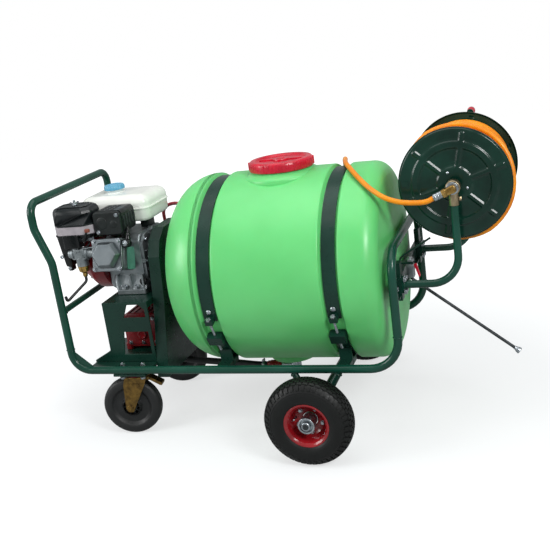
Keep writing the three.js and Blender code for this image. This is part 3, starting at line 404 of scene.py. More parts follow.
# Stove enamel on steel tube: deep green with a wet gloss and the long ripple of sprayed paint.
greenEnamel = finish("stoveEnamelGreen", {
    "colour": "#13493a", "shade": "#0c382b", "patch": 160, "rough": (0.16, 0.26), "wear": 30, "ior": 1.5,
    "grain": 5, "depth": 0.12, "strength": 0.35, "more": {"Specular IOR Level": 0.35}})
# The same enamel on flat pressed sheet, its ripple finer, toned darker than the tube's as painted shade.
greenSheetShaded = finish("stoveEnamelSheetShaded", {
    "colour": "#11362b", "shade": "#0a271f", "patch": 120, "rough": (0.24, 0.38), "wear": 25, "ior": 1.5,
    "grain": 3, "depth": 0.08, "strength": 0.4, "more": {"Specular IOR Level": 0.3}})
# Reel sheet: almost black green, wet gloss on pressed steel, so its ribs flash white.
reelEnamel = finish("reelEnamelGreen", {
    "colour": "#10352a", "shade": "#08231b", "patch": 90, "rough": (0.12, 0.2), "wear": 35, "ior": 1.5,
    "grain": 9, "depth": 0.1, "strength": 0.25, "more": {"Specular IOR Level": 0.35}})
# Gloss enamel on pressed wheel rims.
redEnamel = finish("glossEnamelRed", {
    "colour": "#a3161f", "shade": "#7a0f16", "patch": 60, "rough": (0.16, 0.28), "wear": 18, "ior": 1.5,
    "coat": 0.25, "grain": 4, "depth": 0.08, "strength": 0.35})
# Injection moulded polypropylene lid: saturated red with a faint flow mottle and dulled grip edges.
redPolypropylene = finish("mouldedPolypropyleneRed", {
    "colour": "#cf1332", "shade": "#b20c27", "patch": 45, "rough": (0.2, 0.36), "wear": 15, "ior": 1.49,
    "grain": 2.5, "depth": 0.05, "strength": 0.4,
    "more": {"Subsurface Weight": 0.08, "Subsurface Scale": 0.004}})
# Moulded tyre rubber: carbon black with a dusty bloom and a pebbled skin.
tyreRubber = finish("mouldedTyreRubber", {
    "colour": "#0f1110", "shade": "#080908", "patch": 35, "rough": (0.4, 0.56), "wear": 8, "ior": 1.52,
    "grain": 1.6, "depth": 0.06, "strength": 0.5, "more": {"Specular IOR Level": 0.3}})
# Solid caster rubber: denser and smoother than the tyres.
casterRubber = finish("solidCasterRubber", {
    "colour": "#111314", "shade": "#0a0b0b", "patch": 30, "rough": (0.45, 0.6), "wear": 10, "ior": 1.52,
    "grain": 1.8, "depth": 0.07, "strength": 0.5})
beltRubberAndHoleShade = finish("wrappedBeltRubberAndHoleShade", {  # cloth-wrapped rubber, dull all over; also the painted shade in vents and muffler openings
    "colour": "#1c1c1d", "shade": "#131314", "patch": 20, "rough": (0.7, 0.85), "ior": 1.52, "grain": 1.2,
    "depth": 0.1})
# Yellow chromated zinc on pressed steel: gold that drifts to rose and olive in patches.
zincYellow = finish("zincPlateYellow", {
    "colour": "#8d6f3c", "shade": "#5c492c", "patch": 14, "rough": (0.26, 0.42), "wear": 9, "metallic": 1.0,
    "grain": 1.5, "depth": 0.04})
zincPale = finish("zincPlatePale", {  # thin yellow passivate on machined steel, a dull straw silver
    "colour": "#b7a686", "shade": "#8f8066", "patch": 16, "rough": (0.28, 0.42), "wear": 8, "metallic": 1.0,
    "grain": 1.5, "depth": 0.04})
zincBright = finish("zincPlateBright", {  # clear zinc on bolts and fittings, a bluish silver
    "colour": "#b9bfc4", "shade": "#90979c", "patch": 9, "rough": (0.2, 0.38), "wear": 6, "metallic": 1.0,
    "grain": 1.2, "depth": 0.03})
# Die cast aluminium, tumbled: pale grey, satin, with a fine pebble and duller hollows.
castAluminium = finish("dieCastAluminium", {
    "colour": "#a3a9ab", "shade": "#7b8386", "patch": 28, "rough": (0.34, 0.52), "wear": 7, "metallic": 0.85,
    "grain": 1.8, "depth": 0.12, "strength": 0.6})
# Valve cover: the same alloy brushed to an even satin, so its hexagon shades softly; toned darker as painted
# shade.
shadedPolishedAluminium = finish("shadedPolishedAluminium", {
    "colour": "#7b8285", "shade": "#6b7276", "patch": 40, "rough": (0.3, 0.4), "wear": 14, "metallic": 0.9,
    "grain": 2.0, "depth": 0.05, "strength": 0.4})
# Sand cast iron under thin paint: coarse skin; also painted shade in the axle ends, painted highlight on
# louvre lips.
castIronShadeAndHighlight = finish("sandCastIronShadeAndHighlight", {
    "colour": "#43474a", "shade": "#2c3032", "patch": 20, "rough": (0.45, 0.65), "metallic": 0.6,
    "grain": 2.2, "depth": 0.2, "strength": 0.7})
brass = finish("turnedBrass", {  # machined fittings, warm and slightly tarnished
    "colour": "#c3a05e", "shade": "#94733c", "patch": 11, "rough": (0.2, 0.36), "wear": 6, "metallic": 1.0,
    "grain": 1.0, "depth": 0.03})
blackPolypropylene = finish("mouldedPolypropyleneBlack", {  # glossy moulded covers with a faint orange peel
    "colour": "#141718", "shade": "#0d0f10", "patch": 40, "rough": (0.18, 0.34), "wear": 18, "ior": 1.49,
    "grain": 3, "depth": 0.05, "strength": 0.35, "more": {"Specular IOR Level": 0.35}})
# Air filter cover: the same plastic a tone greyer, with a broad soft sheen over its long flats.
glossPolypropylene = finish("polishedPolypropyleneBlack", {
    "colour": "#191f21", "shade": "#121718", "patch": 60, "rough": (0.3, 0.38), "wear": 25, "ior": 1.49,
    "grain": 6, "depth": 0.05, "strength": 0.3, "more": {"Specular IOR Level": 0.4}})
brownPlastic = finish("mouldedPlasticBrown", {  # choke tab
    "colour": "#8a4a38", "shade": "#74392a", "patch": 14, "rough": (0.3, 0.45), "ior": 1.5, "grain": 1.4,
    "depth": 0.03})
shroudEnamel = finish("sheetEnamelSeaGreen", {  # thin cooling shroud, pale sea green paint on tin
    "colour": "#5b9c86", "shade": "#457f6c", "patch": 40, "rough": (0.25, 0.4), "wear": 12, "ior": 1.5,
    "coat": 0.3, "grain": 3, "depth": 0.05})
heatEnamel = finish("heatEnamelBlack", {  # silencer sheet, satin black with a greyish burn
    "colour": "#1b2221", "shade": "#0f1312", "patch": 24, "rough": (0.3, 0.44), "wear": 10, "ior": 1.5,
    "grain": 1.6, "depth": 0.06, "more": {"Specular IOR Level": 0.35}})
# White gloss enamel on the fuel tank.
whiteEnamel = finish("glossEnamelWhite", {
    "colour": "#f3f5ef", "shade": "#e9ebe3", "patch": 90, "rough": (0.14, 0.26), "wear": 25, "ior": 1.5,
    "coat": 0.25, "grain": 5, "depth": 0.06, "strength": 0.3})
greyPlastic = finish("mouldedNylonGrey", {  # pale grey filter band
    "colour": "#b4adb2", "shade": "#9f989d", "patch": 30, "rough": (0.35, 0.5), "ior": 1.53, "grain": 1.5,
    "depth": 0.04})
maroonEnamel = finish("enamelMaroon", {  # dark red paint over castings and pressed covers
    "colour": "#8a111a", "shade": "#6a0d14", "patch": 35, "rough": (0.24, 0.4), "wear": 14, "ior": 1.5,
    "grain": 2.4, "depth": 0.1, "strength": 0.5})
bluePlastic = finish("mouldedPlasticBlue", {
    "colour": "#6cb0cc", "shade": "#4f9abb", "patch": 20, "rough": (0.25, 0.4), "ior": 1.49, "grain": 1.6,
    "depth": 0.04})
# Spray hose: extruded PVC over braid, amber orange, slightly clear, with a soft waxy shine.
orangeVinyl = finish("extrudedVinylOrange", {
    "colour": "#f19812", "shade": "#dc7c0a", "patch": 70, "rough": (0.28, 0.42), "wear": 14, "ior": 1.53,
    "grain": 2.2, "depth": 0.05, "strength": 0.4,
    "more": {"Subsurface Weight": 0.12, "Subsurface Scale": 0.003, "Specular IOR Level": 0.35}})
blackRubber = finish("extrudedRubberBlack", {  # ribbed suction hose and fuel pipe
    "colour": "#242627", "shade": "#171819", "patch": 30, "rough": (0.4, 0.6), "ior": 1.52, "grain": 1.5,
    "depth": 0.06})
redVinyl = finish("extrudedVinylRed", {  # thin return hose
    "colour": "#c02f3c", "shade": "#a1222e", "patch": 40, "rough": (0.3, 0.45), "ior": 1.53, "grain": 1.8,
    "depth": 0.04})


# Rotomoulded polyethylene: bright green, faintly translucent, a waxy skin with a slow wander in the wall.
tankPolyethylene = finish("rotomouldedPolyethyleneGreen", {
    "colour": "#6bd27b", "shade": "#5fc66f", "patch": 220, "rough": (0.3, 0.42), "wear": 60, "ior": 1.51,
    "grain": 26, "depth": 0.5, "strength": 0.25, "detail": 3.0,
    "more": {"Subsurface Weight": 0.15, "Subsurface Scale": 0.012}})
print("materials made")

# Free hoses, along the part's own routes: diameter in mm, length along the hose in metres.
tank = {"radius": 296, "z": 486}
swivel = {"x": 425, "y": -206, "z": 730, "droop": 22.8}  # the elbow points down by its droop in degrees
hoses = {
    "deliveryHose": {"node": "delivery_hose", "slot": "orange_hose", "diameter": 14.5, "length": 1.8007},
    "returnHose": {"node": "return_hose", "slot": "red_hose", "diameter": 12, "length": 0.5744},
    "suctionHose": {"node": "suction_hose", "slot": "black_hose", "diameter": 22, "length": 0.5458}}


def overTank(x, angle):
    # a place just off the tank's skin for the delivery hose, 0 at the near side and 90 on top
    a = math.radians(angle)
    reach = tank["radius"] + 4 + hoses["deliveryHose"]["diameter"] / 2
    return (x, -reach * math.cos(a), tank["z"] + reach * math.sin(a))


def elbowAt(reach):  # along the swivel elbow's nose
    droop = math.radians(swivel["droop"])
    return (swivel["x"] - reach * math.cos(droop), swivel["y"], swivel["z"] - reach * math.sin(droop))


deliveryRoute = [
    (-600, 117.3, 318), (-600, 135, 318), (-598, 160, 315), (-583, 196, 308), (-545, 219, 290),
    (-490, 224, 268), (-420, 223, 258), (-300, 223, 257), (-150, 223, 257), (-70, 225, 259), (-20, 231, 273),
    (8, 252, 305), overTank(22, 205), overTank(26, 190), overTank(30, 170), overTank(36, 150),
    overTank(48, 130), overTank(66, 112), overTank(86, 98), overTank(104, 84), overTank(128, 74.5),
    overTank(157, 65.5), (198, -172, 740), (241, -194, 716), (283, -202, 703), (324, -206, 699.5),
    elbowAt(76), elbowAt(54)]
returnRoute = [
    (-600, 72, 347.3), (-600, 72, 361), (-600, 84, 388), (-600, 118, 404), (-600, 165, 406), (-602, 203, 414),
    (-606, 226, 444), (-611, 230, 495), (-616, 222, 545), (-617, 206, 600), (-606, 188, 638),
    (-580, 174, 658), (-546, 158, 666), (-514, 130, 667), (-491, 110, 665), (-475.3, 110, 665)]
suctionRoute = [
    (-238.3, 0, 141), (-266, 0, 141), (-335, 2, 147), (-430, 6, 152), (-520, 14, 156), (-590, 26, 160),
    (-640, 36, 168), (-680, 44, 186), (-704, 39, 212), (-713, 40, 240), (-715, 40, 256), (-715, 40, 269.7)]


def layHose(name, route, material):
    facts = hoses[name]
    curve = bpy.data.curves.new(name, "CURVE")
    curve.dimensions = "3D"
    curve.bevel_depth = facts["diameter"] / 2000
    curve.bevel_resolution = 6
    curve.resolution_u = 8
    curve.use_fill_caps = True
    line = curve.splines.new("BEZIER")
    line.bezier_points.add(len(route) - 1)
    spans = smoothLine(route)
    for i, point in enumerate(line.bezier_points):
        leave = spans[i][1] if i < len(spans) else spans[-1][2]
        reach = spans[i - 1][2] if i else spans[0][1]
        here = Vector(route[i])
        point.co = row(here)
        point.handle_left = row(here - reach / 3)
        point.handle_right = row(here + leave / 3)
    curve.materials.append(material)
    made = bpy.data.objects.new(name, curve)
    bpy.context.scene.collection.objects.link(made)
    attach(made, "cart")
    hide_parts(facts["node"])


layHose("deliveryHose", deliveryRoute, orangeVinyl)
layHose("returnHose", returnRoute, redVinyl)
layHose("suctionHose", suctionRoute, blackRubber)
print("hoses laid")

# Frame: tube and brace are diameters; the rails' lines, the handle, the hoop and the reel's posts are places,
# all in mm.
frameFacts = {"tube": 25, "brace": 20, "railY": 252, "railZ": 234, "handleX": -797, "hoopX": 250, "sides": 28,
              "hoopTop": 575, "knee": 592, "shoulder": 702, "gripX": -837, "gripZ": 781, "braceZ": 432,
              "postY": 179}


def mainFrame():
    # one closed run of tube: both rails, the push handle and the end hoop, with corner radii in order
    f = frameFacts
    y, z, x, end, grip = (f[k] for k in ("railY", "railZ", "handleX", "hoopX", "gripX"))
    near = [(end, -y, f["hoopTop"]), (end, -y, z), (x, -y, z), (x - 2, -y, f["knee"]),
            (grip, -y, f["shoulder"]), (grip, -y, f["gripZ"])]
    radii = [75, 88, 60, 70, 70, 45]
    far = [(a, -b, c) for a, b, c in reversed(near)]
    line = rounded(near + far, radii + radii[::-1], 9, True)
    return tubed(line, f["tube"] / 2, f["sides"], True)


piece("frameTube", mainFrame(), greenEnamel, "cart", ["rail_near", "rail_far", "handle_loop", "end_hoop"],
                 sharp=60)
gusset = slab("xz", [(-789, 300), (-789, 262), (-757, 241), (-722, 241)], -255, -249)
piece("frameGussets", bothSides(gusset), greenEnamel, "cart", bevel=1.2)
brace = tubed([(-798, y, frameFacts["braceZ"]) for y in (-245, 245)], frameFacts["brace"] / 2, 24)
piece("handleBrace", brace, greenEnamel, "cart", ["handle_brace"])
beads = bothSides(together(
    weldBead((-798, -240.5, frameFacts["braceZ"]), "y", 10.5), weldBead((250, -252, 330), "z", 13, 1.2),
    weldBead((-797.3, -252, 305), "z", 13, 1.2)))
piece("frameWelds", beads, greenEnamel, "cart", sharp=80)
for name in ("engine_stand", "pump_tray", "caster_crossbar"):
    dressNode(name, greenSheetShaded, 1.6)
dressNode("cross_plate", greenSheetShaded, 1.2)
dressNode("belt_guard", greenSheetShaded, 2.5)
bolts = [hexBolt((x, y, 436 + 17.3), (0, 0, 1), 14, 8, 11, 5) for x in (-661, -581) for y in (-104, 82)]
bolts += [hexBolt((-693.3, y, 424), (-1, 0, 0), 13, 5) for y in (-170, 170)]
bolts += [hexBolt((x, y, 237), (0, 0, 1), 13, 8, 9, 3) for x in (-640, -570) for y in (-225, 225)]
bolts += [hexBolt((270.2, side * frameFacts["postY"] + across, z), (1, 0, 0), 13, 6, 9) for side in (-1, 1)
          for across, z in ((-10, 478), (10, 478), (-10, 442), (10, 442))]
bolts += [hexBolt((251.3, y, 459), (1, 0, 0), 13, 6, 9) for y in (-215, 215)]
zincPart("frameBolts", together(*bolts))
print("frame built")

# Tank: ends, straps, lid and sump are places along x, the rest are sizes, in mm.
tankFacts = {"left": -474, "right": 238, "groove": 283, "straps": (-293, 82), "grooveWidth": 56, "dome": 20,
             "leftShoulder": 132, "rightShoulder": 48, "lidX": -103, "skirt": 97.8, "sumpX": -140}


def shoulder(tip, inward, size):  # the end's round shoulder and its shallow dome
    rim = tank["radius"] - size
    bulge = (rim * rim + tankFacts["dome"] ** 2) / (2 * tankFacts["dome"])
    line = [(rim * k / 8, tip + inward * (bulge - math.sqrt(bulge ** 2 - (rim * k / 8) ** 2)))
            for k in range(8)]
    for k in range(15):
        a = math.pi / 2 * k / 14
        line.append((rim + size * math.sin(a), tip + inward * (tankFacts["dome"] + size * (1 - math.cos(a)))))
    return line


def tankSkin():
    left = shoulder(tankFacts["left"], 1, tankFacts["leftShoulder"])
    right = shoulder(tankFacts["right"], -1, tankFacts["rightShoulder"])[::-1]
    grooves = []
    for x in tankFacts["straps"]:
        half = tankFacts["grooveWidth"] / 2
        skin, low = tank["radius"], tankFacts["groove"]
        corners = [(skin, x - half - 14), (skin, x - half), (low, x - half + 4.5), (low, x + half - 4.5),
                   (skin, x + half), (skin, x + half + 14)]
        grooves += flat(corners, [0, 5, 3, 3, 5, 0], 20, False)
    body = turned("x", (0, 0, tank["z"]), left + grooves + right, 160)
    x = tankFacts["lidX"]
    neckLine = [(121, 752), (119, 772), (100, 781), (91, 786), (90, 800), (90, 806), (82, 806), (82, 762)]
    neck = lathe("z", (x, 0, 0), neckLine, 6, 96)
    sumpLine = [(88, 262), (85, 212), (85, 196), (74, 177), (50, 172.2), (26, 172.2)]
    sump = lathe("z", (tankFacts["sumpX"], 0, 0), sumpLine, 12, 72)
    port = lathe("x", (0, 110, 665), [(16, -440), (13, -466), (11, -470), (11, -474.8)], 2, 32)
    return together(body, neck, sump, port)


piece("tankShell", tankSkin(), tankPolyethylene, "cart", ["tank"], sharp=50)


def lidShape():
    x = tankFacts["lidX"]
    body = [(0, 811), (70, 811), (74, 812), (77, 816.2), (80, 817), (92, 816.6), (96, 813), (97.6, 808),
            (98.2, 800), (98.2, 790), (97, 787.6), (93, 787.4), (92.6, 806.5), (0, 806.6)]
    skirt = turned("z", (x, 0, 0), flat(body, 1.2, 30, False), 96)
    lug = casting("z", (-2.6, 2.6), (-5.5, 5.5), (788.6, 813.6), 2.2, 2.0, 3)
    rib = casting("z", (-0.9, 0.9), (-1.2, 1.2), (791, 811), 0.8, 0.8, 2)

    def onSkirt(shape, degrees):
        out = ([(v[0] + tankFacts["skirt"], v[1], v[2]) for v in shape[0]], shape[1])
        return moved(out, Matrix.Translation((x, 0, 0)) @ Matrix.Rotation(math.radians(degrees), 4, "Z"))
    grips = [onSkirt(lug, 12 + 60 * k) for k in range(6)]
    # fine knurl between the lugs
    grips += [onSkirt(rib, 6 * k) for k in range(60) if k % 10 not in (1, 2, 3)]
    bar = casting("z", (x - 68, x + 68), (-3, 3), (810.6, 815), 2, 1.2, 2)
    hub = lathe("z", (x, 0, 0), [(24, 810.8), (23, 815.4), (14, 815.4), (12, 812)], 1.2, 48)
    return together(skirt, *grips, bar, hub)


piece("tankLid", lidShape(), redPolypropylene, "lid", ["tank_lid"], sharp=42)
print("tank built")

# Straps and saddles: radii from the tank's axis in mm; end and saddleEnd in degrees, 0 level and 90 on top.
strapFacts = {"width": 40, "inner": 283.3, "outer": 287.3, "end": -18, "saddleEnd": -27, "rod": 303}


def around(r, angle):  # y and z round the tank's axis on the far side, 90 on top
    a = math.radians(angle)
    return (r * math.cos(a), tank["z"] + r * math.sin(a))


def wrapped(x, width, inner, outer, start, end, steps):
    angles = [start + (end - start) * k / steps for k in range(steps + 1)]
    outline = [around(outer, a) for a in angles] + [around(inner, a) for a in reversed(angles)]
    return slab("yz", outline, x - width / 2, x + width / 2)


def radial(x, width, inner, outer, low, high):
    corners = [around(inner, low), around(outer, low), around(outer, high), around(inner, high)]
    return slab("yz", corners, x - width / 2, x + width / 2)


def strapSet(x, side):
    f = strapFacts
    band = wrapped(x, f["width"], f["inner"], f["outer"], f["end"], 180 - f["end"], 150)
    lugs = bothSides(radial(x, 24, f["inner"] + 2, f["rod"] + 6, f["end"], f["end"] + 3.2))
    piece(f"{side}Strap", together(band, lugs), greenSheetShaded, "cart", [f"strap_{side}"],
          bevel=0.8)
    top = Vector((x, *around(f["rod"], f["end"] + 3)))
    low = Vector((x, *around(f["rod"], f["saddleEnd"] - 13)))
    way = (low - top).normalized()
    length = (low - top).length
    thread = [top + way * d for d in [k * 0.9 for k in range(int(length / 0.9))]]
    rod = tubed(thread, [3.9 + 0.35 * (k % 2) for k in range(len(thread))], 14)
    share = length * 0.75
    nut = moved(turned("z", (0, 0, 0), [(0, 0), (7.4, 0), (8.4, 1), (8.4, 6.5), (7.4, 7.5), (0, 7.5)], 6),
                aimed(top + way * share, way))
    washer = moved(lathe("z", (0, 0, 0), [(9.5, 0), (9.5, 1.8)], 0.4, 24),
                   aimed(top + way * (share - 2.4), way))
    topNut = moved(turned("z", (0, 0, 0), [(0, -6), (7.2, -6), (8, -5), (8, 0), (0, 0)], 6), aimed(top, way))
    head = Vector((x, *around(f["outer"], f["end"] + 6.5)))
    out = (head - Vector((x, 0, tank["z"]))).normalized()
    button = moved(lathe("z", (0, 0, 0), [(8.4, 0), (8, 2.4), (5.6, 4.4), (2, 5)], 1.2, 32), aimed(head, out))
    zincPart(f"{side}StrapTensioners", bothSides(together(rod, nut, washer, topNut, button)))
    cradle = wrapped(x, f["width"], f["inner"], 288.3, -180 - f["saddleEnd"], f["saddleEnd"], 110)
    block = radial(x, 46, f["inner"] + 3, f["rod"] + 9, f["saddleEnd"] - 6, f["saddleEnd"])
    post = slab("yz", [(196, 226), (204, 226), (204, 279), (196, 283)], x - 19, x + 19)
    stub = slab("yz", [(152, 223), (239.8, 223), (239.8, 243), (152, 243)], x - 19, x + 19)
    foot = together(*(weldBead((x + end, 240.2, 233), "y", 9, 1.6, 26) for end in (-10, 10)))
    piece(f"{side}Saddle", together(cradle, bothSides(together(block, post, stub))), greenSheetShaded, "cart",
          [f"saddle_{side}"], bevel=0.9)
    piece(f"{side}SaddleWelds", bothSides(foot), greenEnamel, "cart", sharp=80)


strapSet(tankFacts["straps"][0], "left")
strapSet(tankFacts["straps"][1], "right")
print("straps and saddles built")

# Outlet under the sump: height of its pipe, sump centre and flange top, in mm.
outlet = {"z": 141, "valveX": -213.2, "sump": -140, "top": 171.6}
fitting = together(
    lathe("z", (outlet["sump"], 0, 0), [(30, 163.8), (30, outlet["top"])], 1, 48),
    turned("z", (outlet["sump"], 0, 0), [(0, 128.2), (15, 128.2), (17, 130), (17, 164), (0, 164)], 6),
    lathe("x", (0, 0, outlet["z"]), [(11, -188), (11, -140)], 0.8, 32),
    *(hexBolt((outlet["sump"] + 24 * math.cos(a), 24 * math.sin(a), 163.8), (0, 0, -1), 6, 3, 4)
      for a in (0.5, 2.07, 3.64, 5.21)))
piece("sumpFitting", fitting, zincBright, "cart", ["sump_fitting"], bevel=0.4)
valveLine = [(11, -24.6), (12.4, -19), (12.4, -16), (15.4, -14), (16, 0), (15.4, 13), (12.4, 16), (12.4, 20),
             (11, 24.5)]
valve = together(
    lathe("x", (outlet["valveX"], 0, outlet["z"]), valveLine, 1.2, 48),
    turned("x", (0, 0, outlet["z"]), [(0, -237), (13.6, -237), (13.6, -229), (0, -229)], 6),
    lathe("y", (outlet["valveX"], 0, outlet["z"]), [(8, -12), (8, -18), (6, -19), (6, -23.8)], 0.6, 32))
piece("outletValve", valve, redEnamel, "cart", ["outlet_valve"], sharp=30)
lever = together(
    slab("xz", outlineBox((-277, -205), (134.5, 147.5), 6), -28.4, -24.6),
    casting("x", (-33, -26), (134.5, 147.5), (-277.1, -242), 3, 2.4, 3))
piece("outletLever", lever, redPolypropylene, "drain_handle", ["outlet_lever"], bevel=0.6)
print("outlet built")

# Main wheels: place across and rolling radius in mm, blocks round the tread, steps round a tyre.
wheel = {"y": 375, "radius": 130, "pitches": 44, "segments": 132}
# tread rows: block section as (radius, place across), then where the block starts and ends in its pitch
treadRows = [
    ([(125, 1), (129.9, 1.4), (129.7, 7.6), (125, 8.2)], 0.05, 0.8),
    ([(124, 10.4), (129.4, 10.4), (128.2, 17.2), (122.5, 18)], 0.55, 1.3),
    ([(122, 20), (127.5, 19.8), (124.6, 26), (118, 26.6)], 0.05, 0.8),
    ([(117, 28.6), (123.2, 28.2), (117.6, 34.6), (110.5, 38), (108, 36), (112, 31)], 0.5, 1.0)]


def tyreShape(y):
    half = [(58.9, 28.2), (60.5, 31), (66, 34.4), (71, 38), (77, 40.6), (84, 42), (92, 41.9), (98, 41),
            (104, 39.2), (110, 36.2), (116, 31.6), (120.6, 26), (124, 18), (126, 9), (126.4, 0)]
    ridge = flat(half, 4, 15, False)
    carcass = turned("y", (0, y, wheel["radius"]), ridge + [(r, -h) for r, h in reversed(ridge)][1:],
                     wheel["segments"])
    inner = turned("y", (0, y, wheel["radius"]), [(58.9, 28.2), (58.9, -28.2)], wheel["segments"])
    blocks = []
    pitch = 360 / wheel["pitches"]
    for k in range(wheel["pitches"]):
        for side, shift in ((-1, k), (1, k + 0.5)):
            for section, start, end in treadRows:
                corners = [(r, side * h) for r, h in section]
                blocks.append(turned("y", (0, y, wheel["radius"]), [*corners, corners[0]], 2,
                                     ((start + shift) * pitch, (end + shift) * pitch)))
    raised = [[(r, side * h), (r + 1, side * (h + 0.5)), (r + 2, side * h)]
              for side in (-1, 1) for r, h in ((72, 38.4), (103, 39.8))]
    rings = [ring("y", (0, y, wheel["radius"]), line, 120) for line in raised]
    return together(carcass, inner, *blocks, *rings)


def rimShape(y, side):  # side is -1 near and 1 far, and the dish faces out
    back = [(50.6, -4), (53, -12), (55.4, -26), (60, -32), (63, -34)]
    lip = [(64, -33), (63, -31.8), (58.6, -28), (57.4, -22), (55, -18), (53, -12), (46, -9), (36, -14),
           (22, -17), (22, -12), (34, -10), (44, -4), (48, 3), (50.6, 14), (52.4, 22), (56, 30), (61, 34.4),
           (65, 35.4), (66.6, 34), (65.4, 32.4), (60, 31), (58, 28), (57.4, 22)]
    profile = flat(back + lip, 1.8, 20, False)
    return turned("y", (0, y, wheel["radius"]), [(r, side * h) for r, h in profile], 96)


def hubShape(y, side):
    tube = flat([(18, -35.4), (20.6, -35.4), (21, -34), (21, 20), (24.4, 24), (24.4, 34.6), (23.6, 35.4),
                 (19.4, 35.4), (18, 33)], 0.8, 30)
    bearing = flat([(10.8, 22), (18.4, 22), (18.4, 29), (10.8, 29)], 0.8, 30)
    return together(*(ring("y", (0, y, wheel["radius"]), [(r, side * h) for r, h in loop], 64)
                      for loop in (tube, bearing)))


def onWheel(r, degrees, y):
    a = math.radians(degrees)
    return (r * math.cos(a), y, wheel["radius"] + r * math.sin(a))


def wheelSet(side, name):
    y = side * wheel["y"]
    body = f"wheel_{name}"
    piece(f"{name}Tyre", tyreShape(y), tyreRubber, body, [f"tyre_{name}"], sharp=32)
    piece(f"{name}Rim", rimShape(y, side), redEnamel, body, [f"rim_{name}"], sharp=60)
    zincPart(f"{name}Hub", hubShape(y, side), 40, body=body)
    nuts = [hexBolt(onWheel(38, 59 + 72 * k, y - side * 7.6), (0, side, 0), 9, 5, 6.5) for k in range(5)]
    stem = lathe("z", (0, 0, 0), [(4.4, 0), (4.2, 10), (3.2, 12), (3.2, 20), (2.4, 21)], 0.8, 20)
    nuts.append(moved(stem, aimed(onWheel(41, 168, y - side * 6), (0, side, 0))))
    zincPart(f"{name}WheelBolts", together(*nuts), body=body)


wheelSet(-1, "near")
wheelSet(1, "far")


def axleShape():
    hub = wheel["radius"]
    axle = lathe("y", (0, 0, hub), [(12.5, -335), (12.5, 335)], 1.5, 40)
    spindle = lathe("y", (0, 0, hub), [(10, -416), (10, 416)], 1.2, 32)
    struts = []
    for side in (-1, 1):
        for end in (-1, 1):
            struts.append(tubed([(end * 69, side * 252, 224), (end * 12, side * 266, hub)], 10, 24))
            bead = weldBead((0, 0, 0), "z", 10.5, 1.8, 30)
            way = Vector((end * 57, -side * 14, 94))
            struts.append(moved(bead, aimed((end * 66.5, side * 252.8, 219.5), way)))
        struts.append(weldBead((0, side * 266, hub), "y", 12.8, 1.8, 30))
    return together(axle, spindle, *struts)


# The axle frame takes the darker sheet enamel: painted shade for its place under the tank.
piece("axle", axleShape(), greenSheetShaded, "cart", ["axle_frame"], sharp=40)
ends = [lathe("y", (0, 0, wheel["radius"]),
              [(13.4, side * 401), (13.4, side * 414.4), (12, side * 416), (9, side * 416)], 1, 40)
        for side in (-1, 1)]
zincPart("axleEnds", together(*ends))
# Dark discs on the axle ends: painted shade standing for the hollow ends of the axle.
boreShades = [lathe("y", (0, 0, wheel["radius"]), [(8.4, side * 415.4), (8.2, side * 416.2)], 0.3, 32)
         for side in (-1, 1)]
piece("axleBoreShades", together(*boreShades), castIronShadeAndHighlight, "cart", sharp=40)
print("wheels built")

# Casters: place of the far swivel, trail and wheel radius in mm, turn in degrees.
caster = {"x": -605, "y": 200, "trail": 35, "turn": 8.4, "radius": 95}


def casterPlace(side):  # drawn straight, trailing to -x, then turned with its caster
    turn = Matrix.Rotation(math.radians(caster["turn"]), 4, "Z")
    return Matrix.Translation((caster["x"], side * caster["y"], 0)) @ turn


def forkShape():
    top = lathe("z", (0, 0, 0), [(40, 195.2), (40, 200.6), (31, 201)], 1.2, 56)
    crown = casting("z", (-43, 33), (-31, 31), (190, 197), 10, 3, 3)
    cheeks = []
    for side in (-1, 1):
        outline = flat([(-38, 198), (34, 198), (25, 174), (-20, 94), (-26, 80), (-44, 80), (-50, 94),
                        (-46, 174)], [3, 3, 14, 10, 9, 9, 10, 14], 15)
        cheeks.append(slab("xz", outline, side * 29 - 2, side * 29 + 2))
        swage = flat([(-30, 178), (12, 178), (2, 156), (-26, 112), (-40, 112), (-40, 156)], 8, 18)
        cheeks.append(slab("xz", swage, side * 31, side * 32.4))
        cheeks.append(casting("x", (side * 20 - 3, side * 20 + 3), (184, 196), (30, 42), 2, 1, 2))
    return together(top, crown, *cheeks)


def casterWheelShape():
    half = [(27, 24.5), (30, 20), (34, 13), (56, 12), (62, 16), (66, 21), (72, 22), (80, 21.6), (88, 19.4),
            (93.4, 14), (95, 7), (95, 0)]
    line = flat(half, 2.4, 20, False)
    tread = turned("y", (0, 0, 0), line + [(r, -h) for r, h in reversed(line)][1:], 96)
    return together(tread, turned("y", (0, 0, 0), [(27, 24.5), (27, -24.5)], 96))


def casterCoreShape():
    sleeve = flat([(8.7, -24.8), (18, -24.8), (19, -23), (19, 23), (18, 24.8), (8.7, 24.8)], 1, 30)
    hub = ring("y", (0, 0, 0), sleeve, 48)
    web = ring("y", (0, 0, 0), [(18, -3), (60, -3), (60, 3), (18, 3)], 64)
    ribs = []
    for k in range(10):
        rib = slab("yz", [(-20, -1.5), (20, -1.5), (20, 1.5), (-20, 1.5)], 17, 34)
        ribs.append(moved(rib, Matrix.Rotation(math.radians(36 * k), 4, "Y")))
    return together(hub, web, *ribs)


